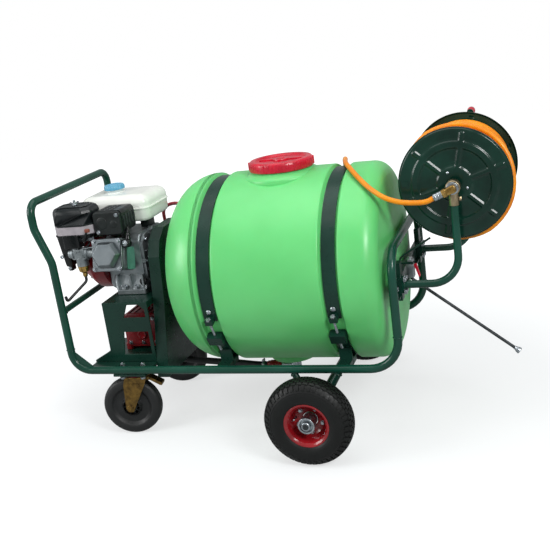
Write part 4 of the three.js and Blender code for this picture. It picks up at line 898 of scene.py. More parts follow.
def casterSet(side, name):
    turn = casterPlace(side)
    body = f"caster_{name}"
    piece(f"{name}CasterFork", moved(forkShape(), turn), zincYellow, body, [f"caster_fork_{name}"],
          bevel=0.7)
    behind, up = -caster["trail"], caster["radius"]
    race = lathe("z", (0, 0, 0), [(30, 200.9), (31, 203), (30, 206.6)], 1, 48)
    collars = [lathe("y", (behind, 0, up), [(8, end * 31.2), (8, end * 34.8)], 0.8, 24) for end in (-1, 1)]
    heads = [hexBolt((behind, end * 31.3, up), (0, end, 0), 13, 3.4, 10) for end in (-1, 1)]
    pin = lathe("y", (behind, 0, up), [(8, -31), (8, 31)], 0.5, 24)
    race = together(race, *collars, *heads, pin)
    piece(f"{name}CasterAxle", moved(race, turn), zincYellow, body, sharp=30)
    sealLine = flat([(26, 197.6), (36, 197.6), (36.6, 202), (33, 204.6), (26, 204.6)], 1.2, 30)
    seal = ring("z", (0, 0, 0), sealLine, 56)
    piece(f"{name}CasterSeal", moved(seal, turn), redEnamel, body, sharp=50)
    roller = f"caster_roller_{name}"
    stand = turn @ Matrix.Translation((behind, 0, up))
    piece(f"{name}CasterTyre", moved(casterWheelShape(), stand), casterRubber, roller,
          [f"caster_wheel_{name}"], sharp=50)
    piece(f"{name}CasterCore", moved(casterCoreShape(), stand), blackPolypropylene, roller,
          bevel=0.6)
    pedalLine = flat([(34, 189), (42, 190), (78, 168), (76.6, 160), (70, 161), (36, 182.6)],
                     [2, 4, 3, 2, 4, 2], 18)
    step = [(50, 185.4), (53, 183.6), (53, 181.4), (50, 183)]
    tread = [slab("xz", [(x + 7 * k, z - 4.3 * k) for x, z in step], -12, 12) for k in range(3)]
    hinge = lathe("y", (38, 0, 187), [(4, -16.6), (4, 16.6)], 0.5, 20)
    pedal = together(slab("xz", pedalLine, -14.8, 14.8), hinge, *tread)
    piece(f"{name}BrakePedal", moved(pedal, turn), zincYellow, f"pedal_{name}", [f"caster_pedal_{name}"],
          bevel=0.6)
    pads = [hexBolt((x, y, 205.2), (0, 0, -1), 13, 6, 9) for x in (-640, -570)
            for y in (side * 163, side * 237)]
    zincPart(f"{name}CasterBolts", together(*pads))


casterSet(-1, "near")
casterSet(1, "far")
print("casters built")

# Hose reel: axis and outer face of its discs in mm, and the pressed ribs, the first at ribTurn degrees;
# knob is how far the crank's knob stands from the axis.
reel = {"x": 425, "z": 730, "radius": 155, "disc": 142, "ribs": 6, "ribTurn": 18, "knob": (21, 143)}


def smoothStep(a, b, t):
    t = max(0.0, min(1.0, (t - a) / (b - a)))
    return t * t * (3 - 2 * t)


def evenSlope(a, b, t):
    return max(0.0, min(1.0, (t - a) / (b - a)))


def discRise(r, angle):
    # how far the pressed sheet lies back from its outer face: two rings of panels crossed by six ribs
    off = abs((angle - reel["ribTurn"] + 30) % 60 - 30) * math.pi / 180 * r
    rib = 1 - evenSlope(3.2, 9.2, off)
    inner = evenSlope(45, 51, r) * (1 - evenSlope(95, 101, r))
    outer = evenSlope(115, 120, r)
    ribEnd = 1 - smoothStep(139, 146, r)
    return 4 * inner * (1 - rib) + 3.6 * outer * (1 - rib * ribEnd) + 4.6 * smoothStep(148, 155, r)


def discShape(side):  # side is the direction of its outer face along y
    radii = [10.4, 16, 24, 32, 40, 44, 45.4, 46.6, 47.8, 49, 50.2, 51.6, 55, 62, 70, 78, 86, 92, 94.6, 96,
             97.2, 98.4, 99.6, 101, 103, 107, 112, 114.6, 115.8, 117, 118.2, 119.4, 121, 126, 132, 138, 139.6,
             141, 142.4, 143.8, 145.2, 147, 148.6, 150, 151.4, 152.8, 154, 155]
    steps = (0.7, 1.3, 1.8, 2.3, 2.8, 3.4, 4.1, 5, 6, 7.4, 9.2, 12, 16, 21, 27)
    angles = [reel["ribTurn"] + 60 * k + d for k in range(reel["ribs"])
              for d in (*(-s for s in reversed(steps)), *steps)]
    verts, faces = [], []
    n, m = len(radii), len(angles)
    for face in (1, -1):
        for angle in angles:
            a = math.radians(angle)
            for r in radii:
                y = side * (reel["disc"] - discRise(r, angle) + face)
                verts.append((reel["x"] + r * math.cos(a), y, reel["z"] + r * math.sin(a)))
    for layer in range(2):
        base = layer * n * m
        for i in range(m):
            here, there = base + i * n, base + ((i + 1) % m) * n
            faces += [(here + j, here + j + 1, there + j + 1, there + j) for j in range(n - 1)]
    for i in range(m):
        for j in (0, n - 1):
            a, b = i * n + j, ((i + 1) % m) * n + j
            faces.append((a, b, b + n * m, a + n * m))
    return verts, faces


def roundEdge(side):  # rolled rim of a disc
    y = side * (reel["disc"] - 7.2)
    return ring("y", (reel["x"], y, reel["z"]), roundSection(reel["radius"] - 1.4, 0, 1.4, 1.6), 120)


for side, name in ((-1, "near"), (1, "far")):
    plateShape = together(discShape(side), roundEdge(side))
    piece(f"{name}ReelDisc", plateShape, reelEnamel, "reel", [f"reel_disc_{name}"], sharp=60)
rivets = []
for side in (-1, 1):
    for angle in (117, -21, -111):
        a = math.radians(angle)
        place = (reel["x"] + 36 * math.cos(a), side * 142.8, reel["z"] + 36 * math.sin(a))
        rivets.append(moved(lathe("z", (0, 0, 0), [(4.4, 0), (4, 1.6), (2.2, 2.8)], 0.8, 20),
                            aimed(place, (0, side, 0))))
zincPart("reelRivets", together(*rivets), 40, body="reel")
clip = together(slab("xz", outlineBox((280, 298), (730.2, 746), 3), -142, -117),
                lathe("y", (289, 0, 738), [(3, -116.9), (3, -112)], 0.5, 16))
piece("hoseClip", clip, reelEnamel, "reel", bevel=0.8)


def drumShape():
    x, z = reel["x"], reel["z"]
    drum = ring("y", (x, 0, z), flat([(115, -140.6), (118, -140.6), (118, 140.6), (115, 140.6)], 0.6, 40), 96)
    web = ring("y", (x, 0, z), [(9.4, -3), (116, -3), (116, 3), (9.4, 3)], 64)
    shaft = lathe("y", (x, 0, z), [(10, -194), (10, 196)], 1, 40)
    start = casting("y", (x - 134, x - 114), (z - 18, z), (119.5, 135), 3, 2, 3)
    across, up = reel["knob"]
    knob = (x + across, z + up)
    lean = math.atan2(up, across)
    outline = []
    for cx, cz, r, first in ((x, z, 15, 90), (knob[0], knob[1], 10, -90)):
        outline += [(cx + r * math.cos(lean + math.radians(first + 15 * k)),
                     cz + r * math.sin(lean + math.radians(first + 15 * k))) for k in range(13)]
    arm = slab("xz", outline, 194, 200)
    boss = lathe("y", (x, 0, z), [(13, 199.6), (13, 206)], 1.2, 32)
    return together(drum, web, shaft, start), together(arm, boss)


drum, crank = drumShape()
piece("reelDrum", drum, reelEnamel, "reel", ["reel_core"], sharp=45)
piece("crankArm", crank, reelEnamel, "reel", bevel=1)
knobX, knobZ = reel["x"] + reel["knob"][0], reel["z"] + reel["knob"][1]
knobLine = [(9, 0), (9.2, 4), (7.6, 7), (9, 14), (11.4, 24), (12, 34), (11, 42), (7, 46)]
piece("crankKnob", lathe("y", (knobX, 200.4, knobZ), knobLine, 2.5, 48), redPolypropylene,
      "reel_knob", ["crank_knob"], sharp=60)

winding = {"radius": 127.25, "start": 126, "tight": 15, "end": (136, -126), "diameter": 14.5, "steps": 48}
looseTurn = [  # angle, radius and place along the drum of the slack last turn, which rides over the pack
    (180, 127.25, -99), (165, 131, -102), (150, 140, -100), (135, 148, -88), (120, 151, -70), (90, 147, -50),
    (60, 147.5, -52), (30, 150, -66), (0, 152.4, -84), (-30, 158, -98), (-60, 162, -108), (-90, 158, -114),
    (-120, 150, -120), (-150, 142, -124), (-180, 136, -126)]


def looseSpot(angle):
    for (a0, r0, y0), (a1, r1, y1) in zip(looseTurn, looseTurn[1:]):
        if angle >= a1:
            t = (a0 - angle) / (a0 - a1)
            t = 0.35 * smoothStep(0, 1, t) + 0.65 * t
            return r0 + (r1 - r0) * t, angle, y0 + (y1 - y0) * t
    return looseTurn[-1][1], angle, looseTurn[-1][2]


def windingLine():
    x, z, steps = reel["x"], reel["z"], winding["steps"]
    pitch = (winding["start"] - looseTurn[0][2]) / winding["tight"]

    def spot(r, angle, y, along=0.0):
        a = math.radians(angle)
        return (x + r * math.cos(a) + along * math.sin(a), y, z + r * math.sin(a) - along * math.cos(a))
    line = [spot(winding["radius"], 180, winding["start"], 0.3)]
    for i in range(1, winding["tight"] * steps):
        line.append(spot(winding["radius"], 180 - 360 * i / steps, winding["start"] - pitch * i / steps))
    line += [spot(*looseSpot(180 - 360 * i / steps)) for i in range(steps)]
    line.append(spot(winding["end"][0], -180, winding["end"][1], -0.3))
    return line


piece("woundHose", tubed(windingLine(), winding["diameter"] / 2, 14), orangeVinyl, "reel", ["reel_hose"],
      sharp=70)
print("reel built")


def bracketShape(side):
    y = side * frameFacts["postY"]
    x = reel["x"]
    line = rounded([(266, y, 460), (x, y, 460), (x, y, 690)], [80], 8)
    post = tubed(line, 11, 28)
    flange = slab("yz", outlineBox((y - 15, y + 15), (438, 482), 3), 264.1, 270)
    return together(post, flange, weldBead((271, y, 460), "x", 11.5, 2, 30))


def socketShape(side):
    y = side * frameFacts["postY"]
    x, z = reel["x"], reel["z"]
    section = flat([(10.7, -13), (18.4, -13), (20, -11.4), (20, 11.4), (18.4, 13), (10.7, 13)], 0.8, 30)
    sleeve = ring("y", (x, y, z), section, 56)
    socket = lathe("z", (x, y, 0), [(14, 680.2), (14, 716)], 1.2, 40)
    screw = hexBolt((x + 14, y, 698), (1, 0, 0), 10, 5, 6)
    return together(sleeve, socket, screw)


for side, name in ((-1, "near"), (1, "far")):
    piece(f"{name}ReelPost", bracketShape(side), greenEnamel, "cart", [f"reel_bracket_{name}"],
          sharp=45)
    piece(f"{name}ReelSocket", socketShape(side), zincPale, "cart", sharp=40)


def elbowShape():
    collar = lathe("y", (reel["x"], 0, reel["z"]), [(17, -199.2), (17, -194.4)], 1, 48)
    body = lathe("y", (reel["x"], 0, reel["z"]), [(11, -214.4), (11, -196)], 1.4, 40)
    nut = turned("z", (0, 0, 0), [(0, 16), (11, 16), (12.4, 17.4), (12.4, 27.6), (11, 29), (0, 29)], 6)
    block = casting("z", (-10, 10), (-10, 10), (-10, 18), 3.5, 2.5, 3)
    return collar, together(body, moved(block, elbowStand), moved(nut, elbowStand))


elbowStand = aimed(elbowAt(0), Vector(elbowAt(1)) - Vector(elbowAt(0)))
collar, elbow = elbowShape()
zincPart("swivelCollar", collar, 40)
piece("swivelElbow", elbow, brass, "cart", ["swivel_elbow"], sharp=35)
crimpLine = [(9.4, 28), (10.5, 29), (10.5, 33), (9.9, 34), (9.9, 37), (10.5, 38), (10.5, 41), (9.9, 42),
             (9.9, 45), (10.5, 46), (10.5, 52), (9.6, 53.6), (7.6, 53.6)]
crimp = moved(lathe("z", (0, 0, 0), crimpLine, 0.4, 36), elbowStand)
zincPart("hoseCrimp", crimp, 40)
print("swivel built")

# Spray gun: the grip's place and the nozzle at the lance's end, in mm.
gun = {"x": 277, "y": -100, "end": (565, -100, 224)}


def gunShape():
    x, y = gun["x"], gun["y"]
    body = casting("y", (x - 11, x + 11), (456, 498), (y - 10, y + 10), 5, 2.4, 3)
    inlet = lathe("z", (x, y, 0), [(8.4, 497), (8.4, 503), (7, 504.4), (7, 517.8)], 0.6, 32)
    nutLine = [(0, 504.4), (10.4, 504.4), (11.4, 505.6), (11.4, 511.4), (10.4, 512.6), (0, 512.6)]
    nut = turned("z", (x, y, 0), nutLine, 6)
    return together(body, inlet, nut)


tip = Vector(gun["end"])
lanceTop = (gun["x"], gun["y"], 452)
lanceWay = (tip - Vector(lanceTop)).normalized()
lanceLine = rounded([(gun["x"], gun["y"], 466), lanceTop, tuple(tip)], [12], 10)
piece("gunBody", gunShape(), castAluminium, "gun", ["spray_gun"], sharp=35)
piece("lance", tubed(lanceLine, 4.5, 20), castIronShadeAndHighlight, "gun", sharp=50)
skirtLine = [(5.2, -14), (5.6, -10), (8.8, -3), (9.5, 2), (9.5, 4), (7.6, 4), (6.6, 0), (3, -2)]
zincPart("nozzleSkirt", moved(lathe("z", (0, 0, 0), skirtLine, 0.5, 40), aimed(tip, lanceWay)), 45,
         body="gun")
triggerLine = flat([(288.4, 495), (295, 497), (304, 459), (299, 457), (291.5, 482), (288.4, 490.5)],
                   [0.6, 2, 2, 2, 6, 1], 15)
piece("gunTrigger", slab("xz", triggerLine, -104.5, -95.5), redPolypropylene, "trigger", ["gun_trigger"],
      bevel=0.8)
print("gun built")

# Engine: crankcase ends along x, heights of shaft and stand, the cylinder's place and half width, in mm;
# lean is the cylinder's angle in degrees.
engine = {"x": (-700, -562), "shaftZ": 538, "standZ": 436.3, "cylinderX": -650, "lean": -16, "half": 50}
lean = (Matrix.Translation((0, 0, engine["shaftZ"])) @ Matrix.Rotation(math.radians(engine["lean"]), 4, "X")
        @ Matrix.Translation((0, 0, -engine["shaftZ"])))


def bolted(places, way, across=10, height=5, washer=7, stub=0.0):
    return together(*(hexBolt(place, way, across, height, washer, stub) for place in places))


def earPlaces():  # y and z of the bolt ears round the crankcase cover
    spots = [(96 if k % 2 else 84, math.radians(45 * k)) for k in range(8)]
    return [(reach * math.cos(a), engine["shaftZ"] + reach * math.sin(a)) for reach, a in spots]


def crankcaseShape():
    x0, x1 = engine["x"]
    z = engine["shaftZ"]
    block = casting("x", (-94, 92), (446, 626), (x0, x1 - 12), 30, 6)
    skirt = lofted("z", [(453, outlineBox((-676, -566), (-112, 90), 8)),
                         (470, outlineBox((-686, -568), (-104, 90), 14)),
                         (500, outlineBox((-694, -570), (-95, 90), 22))])
    foot = casting("z", (-672, -570), (-115, 92), (engine["standZ"], 453.5), 6, 2.5)
    cover = slab("yz", outlineBox((-90, 90), (452, 622), 40, 12), x1 - 12, x1 - 4)
    lip = slab("yz", outlineBox((-96, 92), (447, 628), 42, 12), x1 - 17, x1 - 12)
    face = lathe("x", (0, 0, z), [(70, x1 - 6), (66, x1 - 1), (52, x1), (52, x1 + 9), (48, x1 + 10),
                                  (22, x1 + 10), (22, x1 + 14)], 3, 72)
    ribs = []
    for k in range(8):
        a = math.radians(22.5 + 45 * k)
        rib = slab("yz", [(50, -2), (86, -2), (86, 2), (50, 2)], x1 - 5, x1 + 1)
        ribs.append(moved(rib, Matrix.Translation((0, 0, z)) @ Matrix.Rotation(a, 4, "X")))
    ears = [lathe("x", (0, y, up), [(10, x1 - 18), (10, x1 - 3)], 1.5, 24) for y, up in earPlaces()]
    web = [slab("xz", flat([(x, 453), (x + 6, 453), (x + 6, 500), (x, 500)], 1), -113, -96)
           for x in (-668, -624, -580)]
    return together(block, skirt, foot, cover, lip, face, *ribs, *ears, *web)


def crankcaseBolts():
    places = [(engine["x"][1] - 3, y, z) for y, z in earPlaces()]
    drains = bolted([(-640, -113.5, 463), (-600, -113.5, 463)], (0, -1, 0), 11, 6, 8)
    return together(bolted(places, (1, 0, 0), 10, 5, 8), drains)


piece("crankcase", crankcaseShape(), castAluminium, "cart", ["crankcase"], bevel=0.8)
zincPart("crankcaseBolts", crankcaseBolts())
dipstick = together(lathe("y", (-578, 0, 476), [(12, -100), (12.6, -104), (12.6, -107), (9, -109)], 1.2, 32),
                    casting("y", (-588, -568), (473.6, 478.4), (-111.5, -106), 2, 1.2, 2),
                    lathe("y", (-578, 0, 476), [(9, -101), (9, -91)], 0.8, 24))
piece("dipstick", dipstick, blackPolypropylene, "cart", sharp=35)


def cylinderShape():
    x, z, half = engine["cylinderX"], engine["shaftZ"], engine["half"]
    barrel = casting("y", (x - 38, x + 38), (z - 36, z + 38), (-152, -90), 14, 2)
    fins = []
    for k in range(6):
        y = -149 + 10 * k
        outline = outlineBox((x - half, x + half), (z - half, z + half), 10)
        fins.append(slab("xz", outline, y, y + 3))
    head = casting("y", (x - half, x + half), (z - half, z + half), (-178, -156), 10, 2)
    outline = outlineBox((x - half - 1, x + half + 1), (z - half - 1, z + half + 1), 10)
    for k in range(2):
        fins.append(slab("xz", outline, -166 + 6 * k, -163 + 6 * k))
    studs = [lathe("y", (x + u * 42, 0, z + v * 42), [(8, -178), (8, -100)], 1, 20) for u in (-1, 1)
             for v in (-1, 1)]
    return moved(together(barrel, *fins, head, *studs), lean)


def valveCoverShape():
    x, z = engine["cylinderX"], engine["shaftZ"]
    half = [(-52, -46), (-46, -52), (-30, -49), (30, -49), (46, -52), (52, -46), (49, -30), (49, 30)]
    points = [(x + turn * u, z + turn * v) for turn in (1, -1) for u, v in half]
    outline = flat(points, [7, 7, 14, 14] * 4, 15)
    flange = slab("xz", outline, -184, -178.3)

    def hexLine(r):  # six sides with points left and right, its corners eased
        return flat([(x + r * math.cos(math.radians(60 * k)), z + 0.94 * r * math.sin(math.radians(60 * k)))
                     for k in range(6)], 7, 20)
    dome = lofted("y", [(-183.5, hexLine(50)), (-189, hexLine(49.4)), (-192, hexLine(48.4)),
                        (-203, hexLine(41)), (-204.6, hexLine(39.4)), (-205, hexLine(37.4))])
    return moved(together(flange, dome), lean)


def headBolts():
    x, z = engine["cylinderX"], engine["shaftZ"]
    places = [(x + u * 43, -184, z + v * 43) for u in (-1, 1) for v in (-1, 1)]
    return moved(bolted(places, (0, -1, 0), 9, 4.5, 6.5), lean)


piece("cylinder", cylinderShape(), castAluminium, "cart", ["cylinder_head"], bevel=0.6)
piece("valveCover", valveCoverShape(), shadedPolishedAluminium, "cart", ["valve_cover"],
      bevel=0.9, sharp=20)
zincPart("valveCoverBolts", headBolts())
shroudSpan = (engine["shaftZ"] - 47, engine["shaftZ"] + 24)
shroud = together(slab("yz", outlineBox((-146, -97), shroudSpan, 5), -599, -596.5),
                  slab("xz", outlineBox((-612, -596.5), shroudSpan, 2), -99, -96.5))
piece("cylinderShroud", moved(shroud, lean), shroudEnamel, "cart", bevel=0.7)


def plugShape():
    x, z = engine["cylinderX"] + engine["half"], engine["shaftZ"] + 34
    boot = lathe("x", (0, -162, z), [(12, x + 1), (12, x + 18), (10, x + 24), (6, x + 26)], 2, 32)
    collar = ring("x", (0, -162, z), roundSection(9, x + 20, 3, 3), 40)
    leadLine = rounded([(x + 14, -162, z + 4), (x + 16, -162, z + 34), (x + 2, -140, z + 52)], 16, 12)
    lead = tubed(leadLine, 6, 20)
    elbow = lathe("z", (x + 16, -162, 0), [(8, z + 4), (9, z + 14), (7, z + 26)], 2, 28)
    return moved(together(boot, collar, lead, elbow), lean)


piece("plugBoot", plugShape(), blackPolypropylene, "cart", sharp=50)
plugMetal = together(
    lathe("y", (-589, 0, engine["shaftZ"] + 34), [(9.5, -176.5), (9, -179), (5, -180.4), (3, -183)], 1, 28),
    lathe("x", (0, -162, engine["shaftZ"] + 34), [(10, -602), (10, -597)], 0.8, 24))
zincPart("plugMetal", moved(plugMetal, lean), 40)
plugRing = ring("y", (-589, -176, engine["shaftZ"] + 34), roundSection(11.4, 0, 2, 2.2), 40)
piece("plugRing", moved(plugRing, lean), blackPolypropylene, "cart", sharp=60)
print("cylinder built")

# Fan side: centre, radius and ends of the housing, and the starter's inner face, in mm.
fan = {"y": -10, "z": 561, "radius": 122, "x": (-765, -700.3), "starterX": -765.3}


def fanShape():
    low, high = fan["x"]
    r = fan["radius"]
    line = [(96, low), (r - 10, low + 3), (r, low + 18), (r, high - 4), (r - 4, high)]
    drum = lathe("x", (0, fan["y"], fan["z"]), line, 8, 96)
    bead = [(119, high - 9), (121.9, high - 8), (121.9, high - 3), (119, high - 2)]
    seam = ring("x", (0, fan["y"], fan["z"]), bead, 96)
    return together(drum, seam)


piece("fanHousing", fanShape(), maroonEnamel, "cart", ["fan_housing"], sharp=45)
starterLine = [(60, fan["starterX"] - 40), (72, fan["starterX"] - 34), (85, fan["starterX"] - 7),
               (88, fan["starterX"])]
guideEye = lathe("y", (fan["starterX"] - 20, 0, 558), [(8, 70), (10, 84), (10, 93.6), (6, 93.6)], 1.5, 32)
piece("recoilStarter", together(lathe("x", (0, 0, engine["shaftZ"]), starterLine, 5, 72), guideEye),
      maroonEnamel, "cart", ["recoil_starter"], sharp=45)
# Dark slabs round the starter's face: painted shade standing for its vent openings.
ventShades = []
for k in range(14):
    a = math.radians(360 / 14 * k)
    cut = moved(slab("xy", outlineBox((-12, 12), (-3, 3), 2.9), -0.7, 0.7),
                Matrix.Rotation(math.radians(-62), 4, "Y"))
    place = (Matrix.Translation((0, 0, engine["shaftZ"])) @ Matrix.Rotation(a, 4, "X")
             @ Matrix.Translation((fan["starterX"] - 21, 0, 79.2)))
    ventShades.append(moved(cut, place))
piece("starterVentShades", together(*ventShades), beltRubberAndHoleShade, "cart", sharp=40)
rim = [hexBolt((fan["starterX"] - 0.4, 103 * math.cos(a), 558 + 103 * math.sin(a)), (-1, 0, 0), 10, 5, 7)
       for a in (math.radians(d) for d in (200, 250, 290, 340))]
zincPart("starterBolts", together(*rim))
gripLine = [(6.5, 525.2), (8.6, 530), (8, 545), (9, 558), (8, 571), (8.6, 586), (6.5, 590.8)]
grip = together(lathe("z", (-785.3, 110, 0), gripLine, 4, 32),
                lathe("y", (-785.3, 0, 558), [(6, 94.4), (6, 99), (4.4, 104)], 1, 24))
piece("recoilGrip", grip, blackPolypropylene, "starter_grip", ["recoil_grip"], sharp=50)

# Fuel tank: its box, the height of its seam and the cap's place, in mm.
fuel = {"x": (-800, -548), "y": (-46, 142), "z": (655, 742), "seam": 699, "cap": (-700, 45)}


def fuelShape():
    (x0, x1), (y0, y1), (z0, z1) = fuel["x"], fuel["y"], fuel["z"]
    seam = fuel["seam"]

    def level(inset, z, left=x0, corner=34):
        across, along = (y0 + inset, y1 - inset), (left + inset, x1 - inset)
        return (z, outlineBox(along, across, max(corner - inset, 4), 9))
    dome = [(seam, 4)] + [(z1 - 30 + 30 * math.sin(a), 4 + 34 * (1 - math.cos(a))) for a in
                          (math.pi / 2 * k / 9 for k in range(10))]
    upper = lofted("z", [level(inset, z) for z, inset in dome])
    lower = lofted("z", [level(20, z0, -694), level(9, z0 + 4, -696), level(5, z0 + 13, -697),
                         level(4, seam, -697)])
    shelf = lofted("z", [level(14, 685, x0), level(6, 690, x0), level(4, seam, x0)])
    lip = slab("xy", outlineBox((x0, x1), (y0, y1), 36, 9), seam - 1.6, seam + 1.6)
    neck = lathe("z", (*fuel["cap"], 0), [(33, 738), (32, 744), (26, 747), (26, 752)], 1.5, 48)
    return together(upper, lower, shelf, lip, neck)


piece("fuelTank", fuelShape(), whiteEnamel, "cart", ["fuel_tank"], sharp=50)
legs = [casting("z", (x - 14, x + 14), (0, 50), (628, 657), 3, 1.5, 2) for x in (-682, -592)]
piece("fuelTankLegs", together(*legs), heatEnamel, "cart", sharp=40)
capLine = [(34, 752.3), (34, 762), (31, 766.6), (24, 768), (0.5, 768.2)]
capBody = fluted("z", (*fuel["cap"], 0), capLine, 16, 1.8, 28, 128)
capX = fuel["cap"][0]
capTop = together(ring("z", (*fuel["cap"], 0), [(18, 767), (20, 768.9), (22, 767)], 48),
                  casting("z", (capX - 20, capX + 20), (42.6, 47.4), (766.8, 769), 2, 0.8, 2))
piece("fuelCap", together(capBody, capTop), bluePlastic, "cap", ["fuel_cap"], sharp=40)
print("fuel tank built")

# Air cleaner: the cover's box and the wing nut's stud, in mm.
air = {"x": (-829, -692), "y": (-172, -70), "band": (655, 684), "stud": (-760, -120)}


def cutBox(x, y, cut):  # a rectangle with its corners cut straight
    (x0, x1), (y0, y1) = x, y
    line = [(x0 + cut, y0), (x1 - cut, y0), (x1, y0 + cut), (x1, y1 - cut), (x1 - cut, y1), (x0 + cut, y1),
            (x0, y1 - cut), (x0, y0 + cut)]
    return flat(line, 5, 18)


def airCoverShape():
    (x0, x1), (y0, y1) = air["x"], air["y"]

    def level(inset, z):
        return (z, cutBox((x0 + inset, x1 - inset), (y0 + inset, y1 - inset), 22 - inset * 0.3))
    cover = lofted("z", [level(1.5, 683), level(0, 685), level(0.6, 722), level(2, 730), level(6, 737),
                         level(10, 739.4)])
    roof = lofted("z", [level(16, 739), level(17, 742), level(19, 743), level(21, 742.4), level(22, 740.6)])
    lip = slab("xy", cutBox((x0, x1), (y0, y1), 22), 683.4, 688)
    return together(cover, roof, lip)


def airCaseShape():
    low = lofted("z", [(550, outlineBox((-815, -795), (-150, -100), 4)),
                       (556, outlineBox((-817, -793), (-152, -98), 6)),
                       (640, outlineBox((-826, -792), (-158, -92), 8)),
                       (656, outlineBox((-827, -790), (-160, -90), 8))])
    floor = lofted("z", [(643, outlineBox((-822, -704), (-160, -96), 8)),
                         (656, outlineBox((-826, -696), (-166, -90), 8))])
    duct = casting("z", (-799, -742), (-172, -134), (612, 656), 8, 3, 3)
    tail = casting("z", (-812, -798), (-146, -120), (534, 551), 3, 1.5, 2)
    ribs = [casting("z", (x - 1.5, x + 1.5), (-171, -160), (622, 655), 1, 1, 2) for x in (-780, -765, -750)]
    return together(low, floor, duct, tail, *ribs)


piece("airCover", airCoverShape(), glossPolypropylene, "cart", ["air_cleaner"], sharp=30,
      even=True)
bandRim = cutBox((-826, -695), (-169, -92), 18)
bandSide = cutBox((-828, -693), (-171, -90), 20)
low, high = air["band"]
band = lofted("z", [(low, bandRim), (low + 2, bandSide), (high - 2, bandSide), (high, bandRim)])
piece("airBand", band, greyPlastic, "cart", sharp=30, even=True)
piece("airCase", airCaseShape(), blackPolypropylene, "cart", sharp=30, even=True)
studX, studY = air["stud"]
ear = slab("xz", flat([(4, 0), (14, 4), (15, 9), (10, 9), (4, 5)], [0.5, 3, 3, 3, 0.5], 18), -1.2, 1.2)
wing = together(
    lathe("z", (studX, studY, 0), [(4, 738), (4, 757.6)], 0.8, 20),
    lathe("z", (studX, studY, 0), [(8.6, 741.4), (8.6, 743.6), (6, 744), (6, 749)], 0.8, 28),
    *(moved(ear, Matrix.Translation((studX, studY, 744)) @ Matrix.Rotation(turn, 4, "Z"))
      for turn in (0.6, 0.6 + math.pi)))
zincPart("airWingNut", wing, 35)
zincPart("airCaseBolts", bolted([(-818, -159.4, 585), (-805, -147, 543)], (0, -1, 0), 9, 4, 6))

# Carburettor: centre of its throat, in mm.
carb = {"x": -752, "y": -152, "z": 592}


def carbBody():
    x, y, z = carb["x"], carb["y"], carb["z"]
    throat = lathe("x", (0, y, z), [(15, -791.7), (15, -780), (20, -779), (20, -774), (16, -773), (16, -732),
                                    (21, -731), (21, -724), (15, -723), (15, -700.3)], 1, 40)
    block = casting("z", (x - 20, x + 20), (y - 17, y + 17), (580, 609), 7, 3, 3)
    rise = lathe("z", (x - 14, y, 0), [(14, 592), (14, 611.5)], 1, 32)
    plateRim = slab("xy", outlineBox((x - 23, x + 23), (y - 20, y + 20), 6), 577, 581)
    screws = [lathe("y", (x + right, 0, z + up), [(3.6, y - 20), (3.6, y - 16)], 0.5, 16)
              for right, up in ((-11, 8), (12, -4), (2, 10))]
    return together(throat, block, rise, plateRim, *screws)


bowlLine = [(8, 519), (8, 529), (16, 534.5), (18.6, 548), (18.8, 554)]
neckLine = flat([(12, 552), (19.4, 552), (19.4, 577), (21, 577.4), (21, 580), (12, 580)], 0.8, 30)
bowlTop = ring("z", (carb["x"], carb["y"], 0), neckLine, 48)
piece("carburettorNeck", bowlTop, castAluminium, "cart", sharp=45)
piece("carburettor", carbBody(), castAluminium, "cart", ["carburettor"], bevel=0.6)
piece("carburettorBowl", lathe("z", (carb["x"], carb["y"], 0), bowlLine, 1.6, 48), brass, "cart",
      sharp=45)
drainLine = rounded([(carb["x"], carb["y"], 524), (carb["x"], carb["y"], 500), (-791, -224, 456),
                     (-791, -228, 474)], [12, 8], 10)
piece("carburettorDrain", tubed(drainLine, 4.6, 20), blackRubber, "cart", sharp=50)
bowlNut = turned("z", (carb["x"], carb["y"], 0), [(0, 516), (7.4, 516), (8, 517), (8, 523), (0, 523)], 6)
piece("bowlNut", bowlNut, brass, "cart", sharp=30)
pipeLine = rounded([(-745, -138, 600), (-730, -110, 622), (-716, -60, 640), (-704, -36, 668)], [14, 14], 12)
piece("fuelPipe", tubed(pipeLine, 3.4, 16), blackRubber, "cart", sharp=50)
link = together(tubed([(-722, -176, 645), (-718, -150, 646), (-690, -110, 634)], 1.6, 12),
                tubed([(-735, -168, 610), (-700, -166, 614), (-697, -150, 616)], 1.4, 12),
                slab("xz", outlineBox((-742, -708), (626, 650), 4), -133, -131.4),
                bolted([(-734, -133, 640), (-716, -133, 634)], (0, -1, 0), 8, 4, 6))
zincPart("throttleLinks", link, 35)
arm = slab("xz", flat([(-726, 636), (-718, 634), (-699, 668), (-704, 672)], [3, 3, 2, 2], 18), -177.4, -174.6)
pin = lathe("y", (-722, 0, 640), [(3.5, -176), (3.5, -105.4)], 0.5, 20)
piece("throttleLever", together(arm, pin), blackPolypropylene, "throttle", ["throttle_lever"],
      bevel=0.5)
tab = casting("y", (-708, -692), (665, 676), (-183, -174), 3, 2, 3)
piece("throttleTab", tab, brownPlastic, "throttle", sharp=40)
print("intake side built")

# Muffler: its box and the louvres' pitch, in mm.
muffler = {"x": (-690, -594), "y": (-152, -49), "z": (645, 720), "louvres": 5, "pitch": 17}


def louvreStarts():
    return [-132 + muffler["pitch"] * k for k in range(muffler["louvres"])]


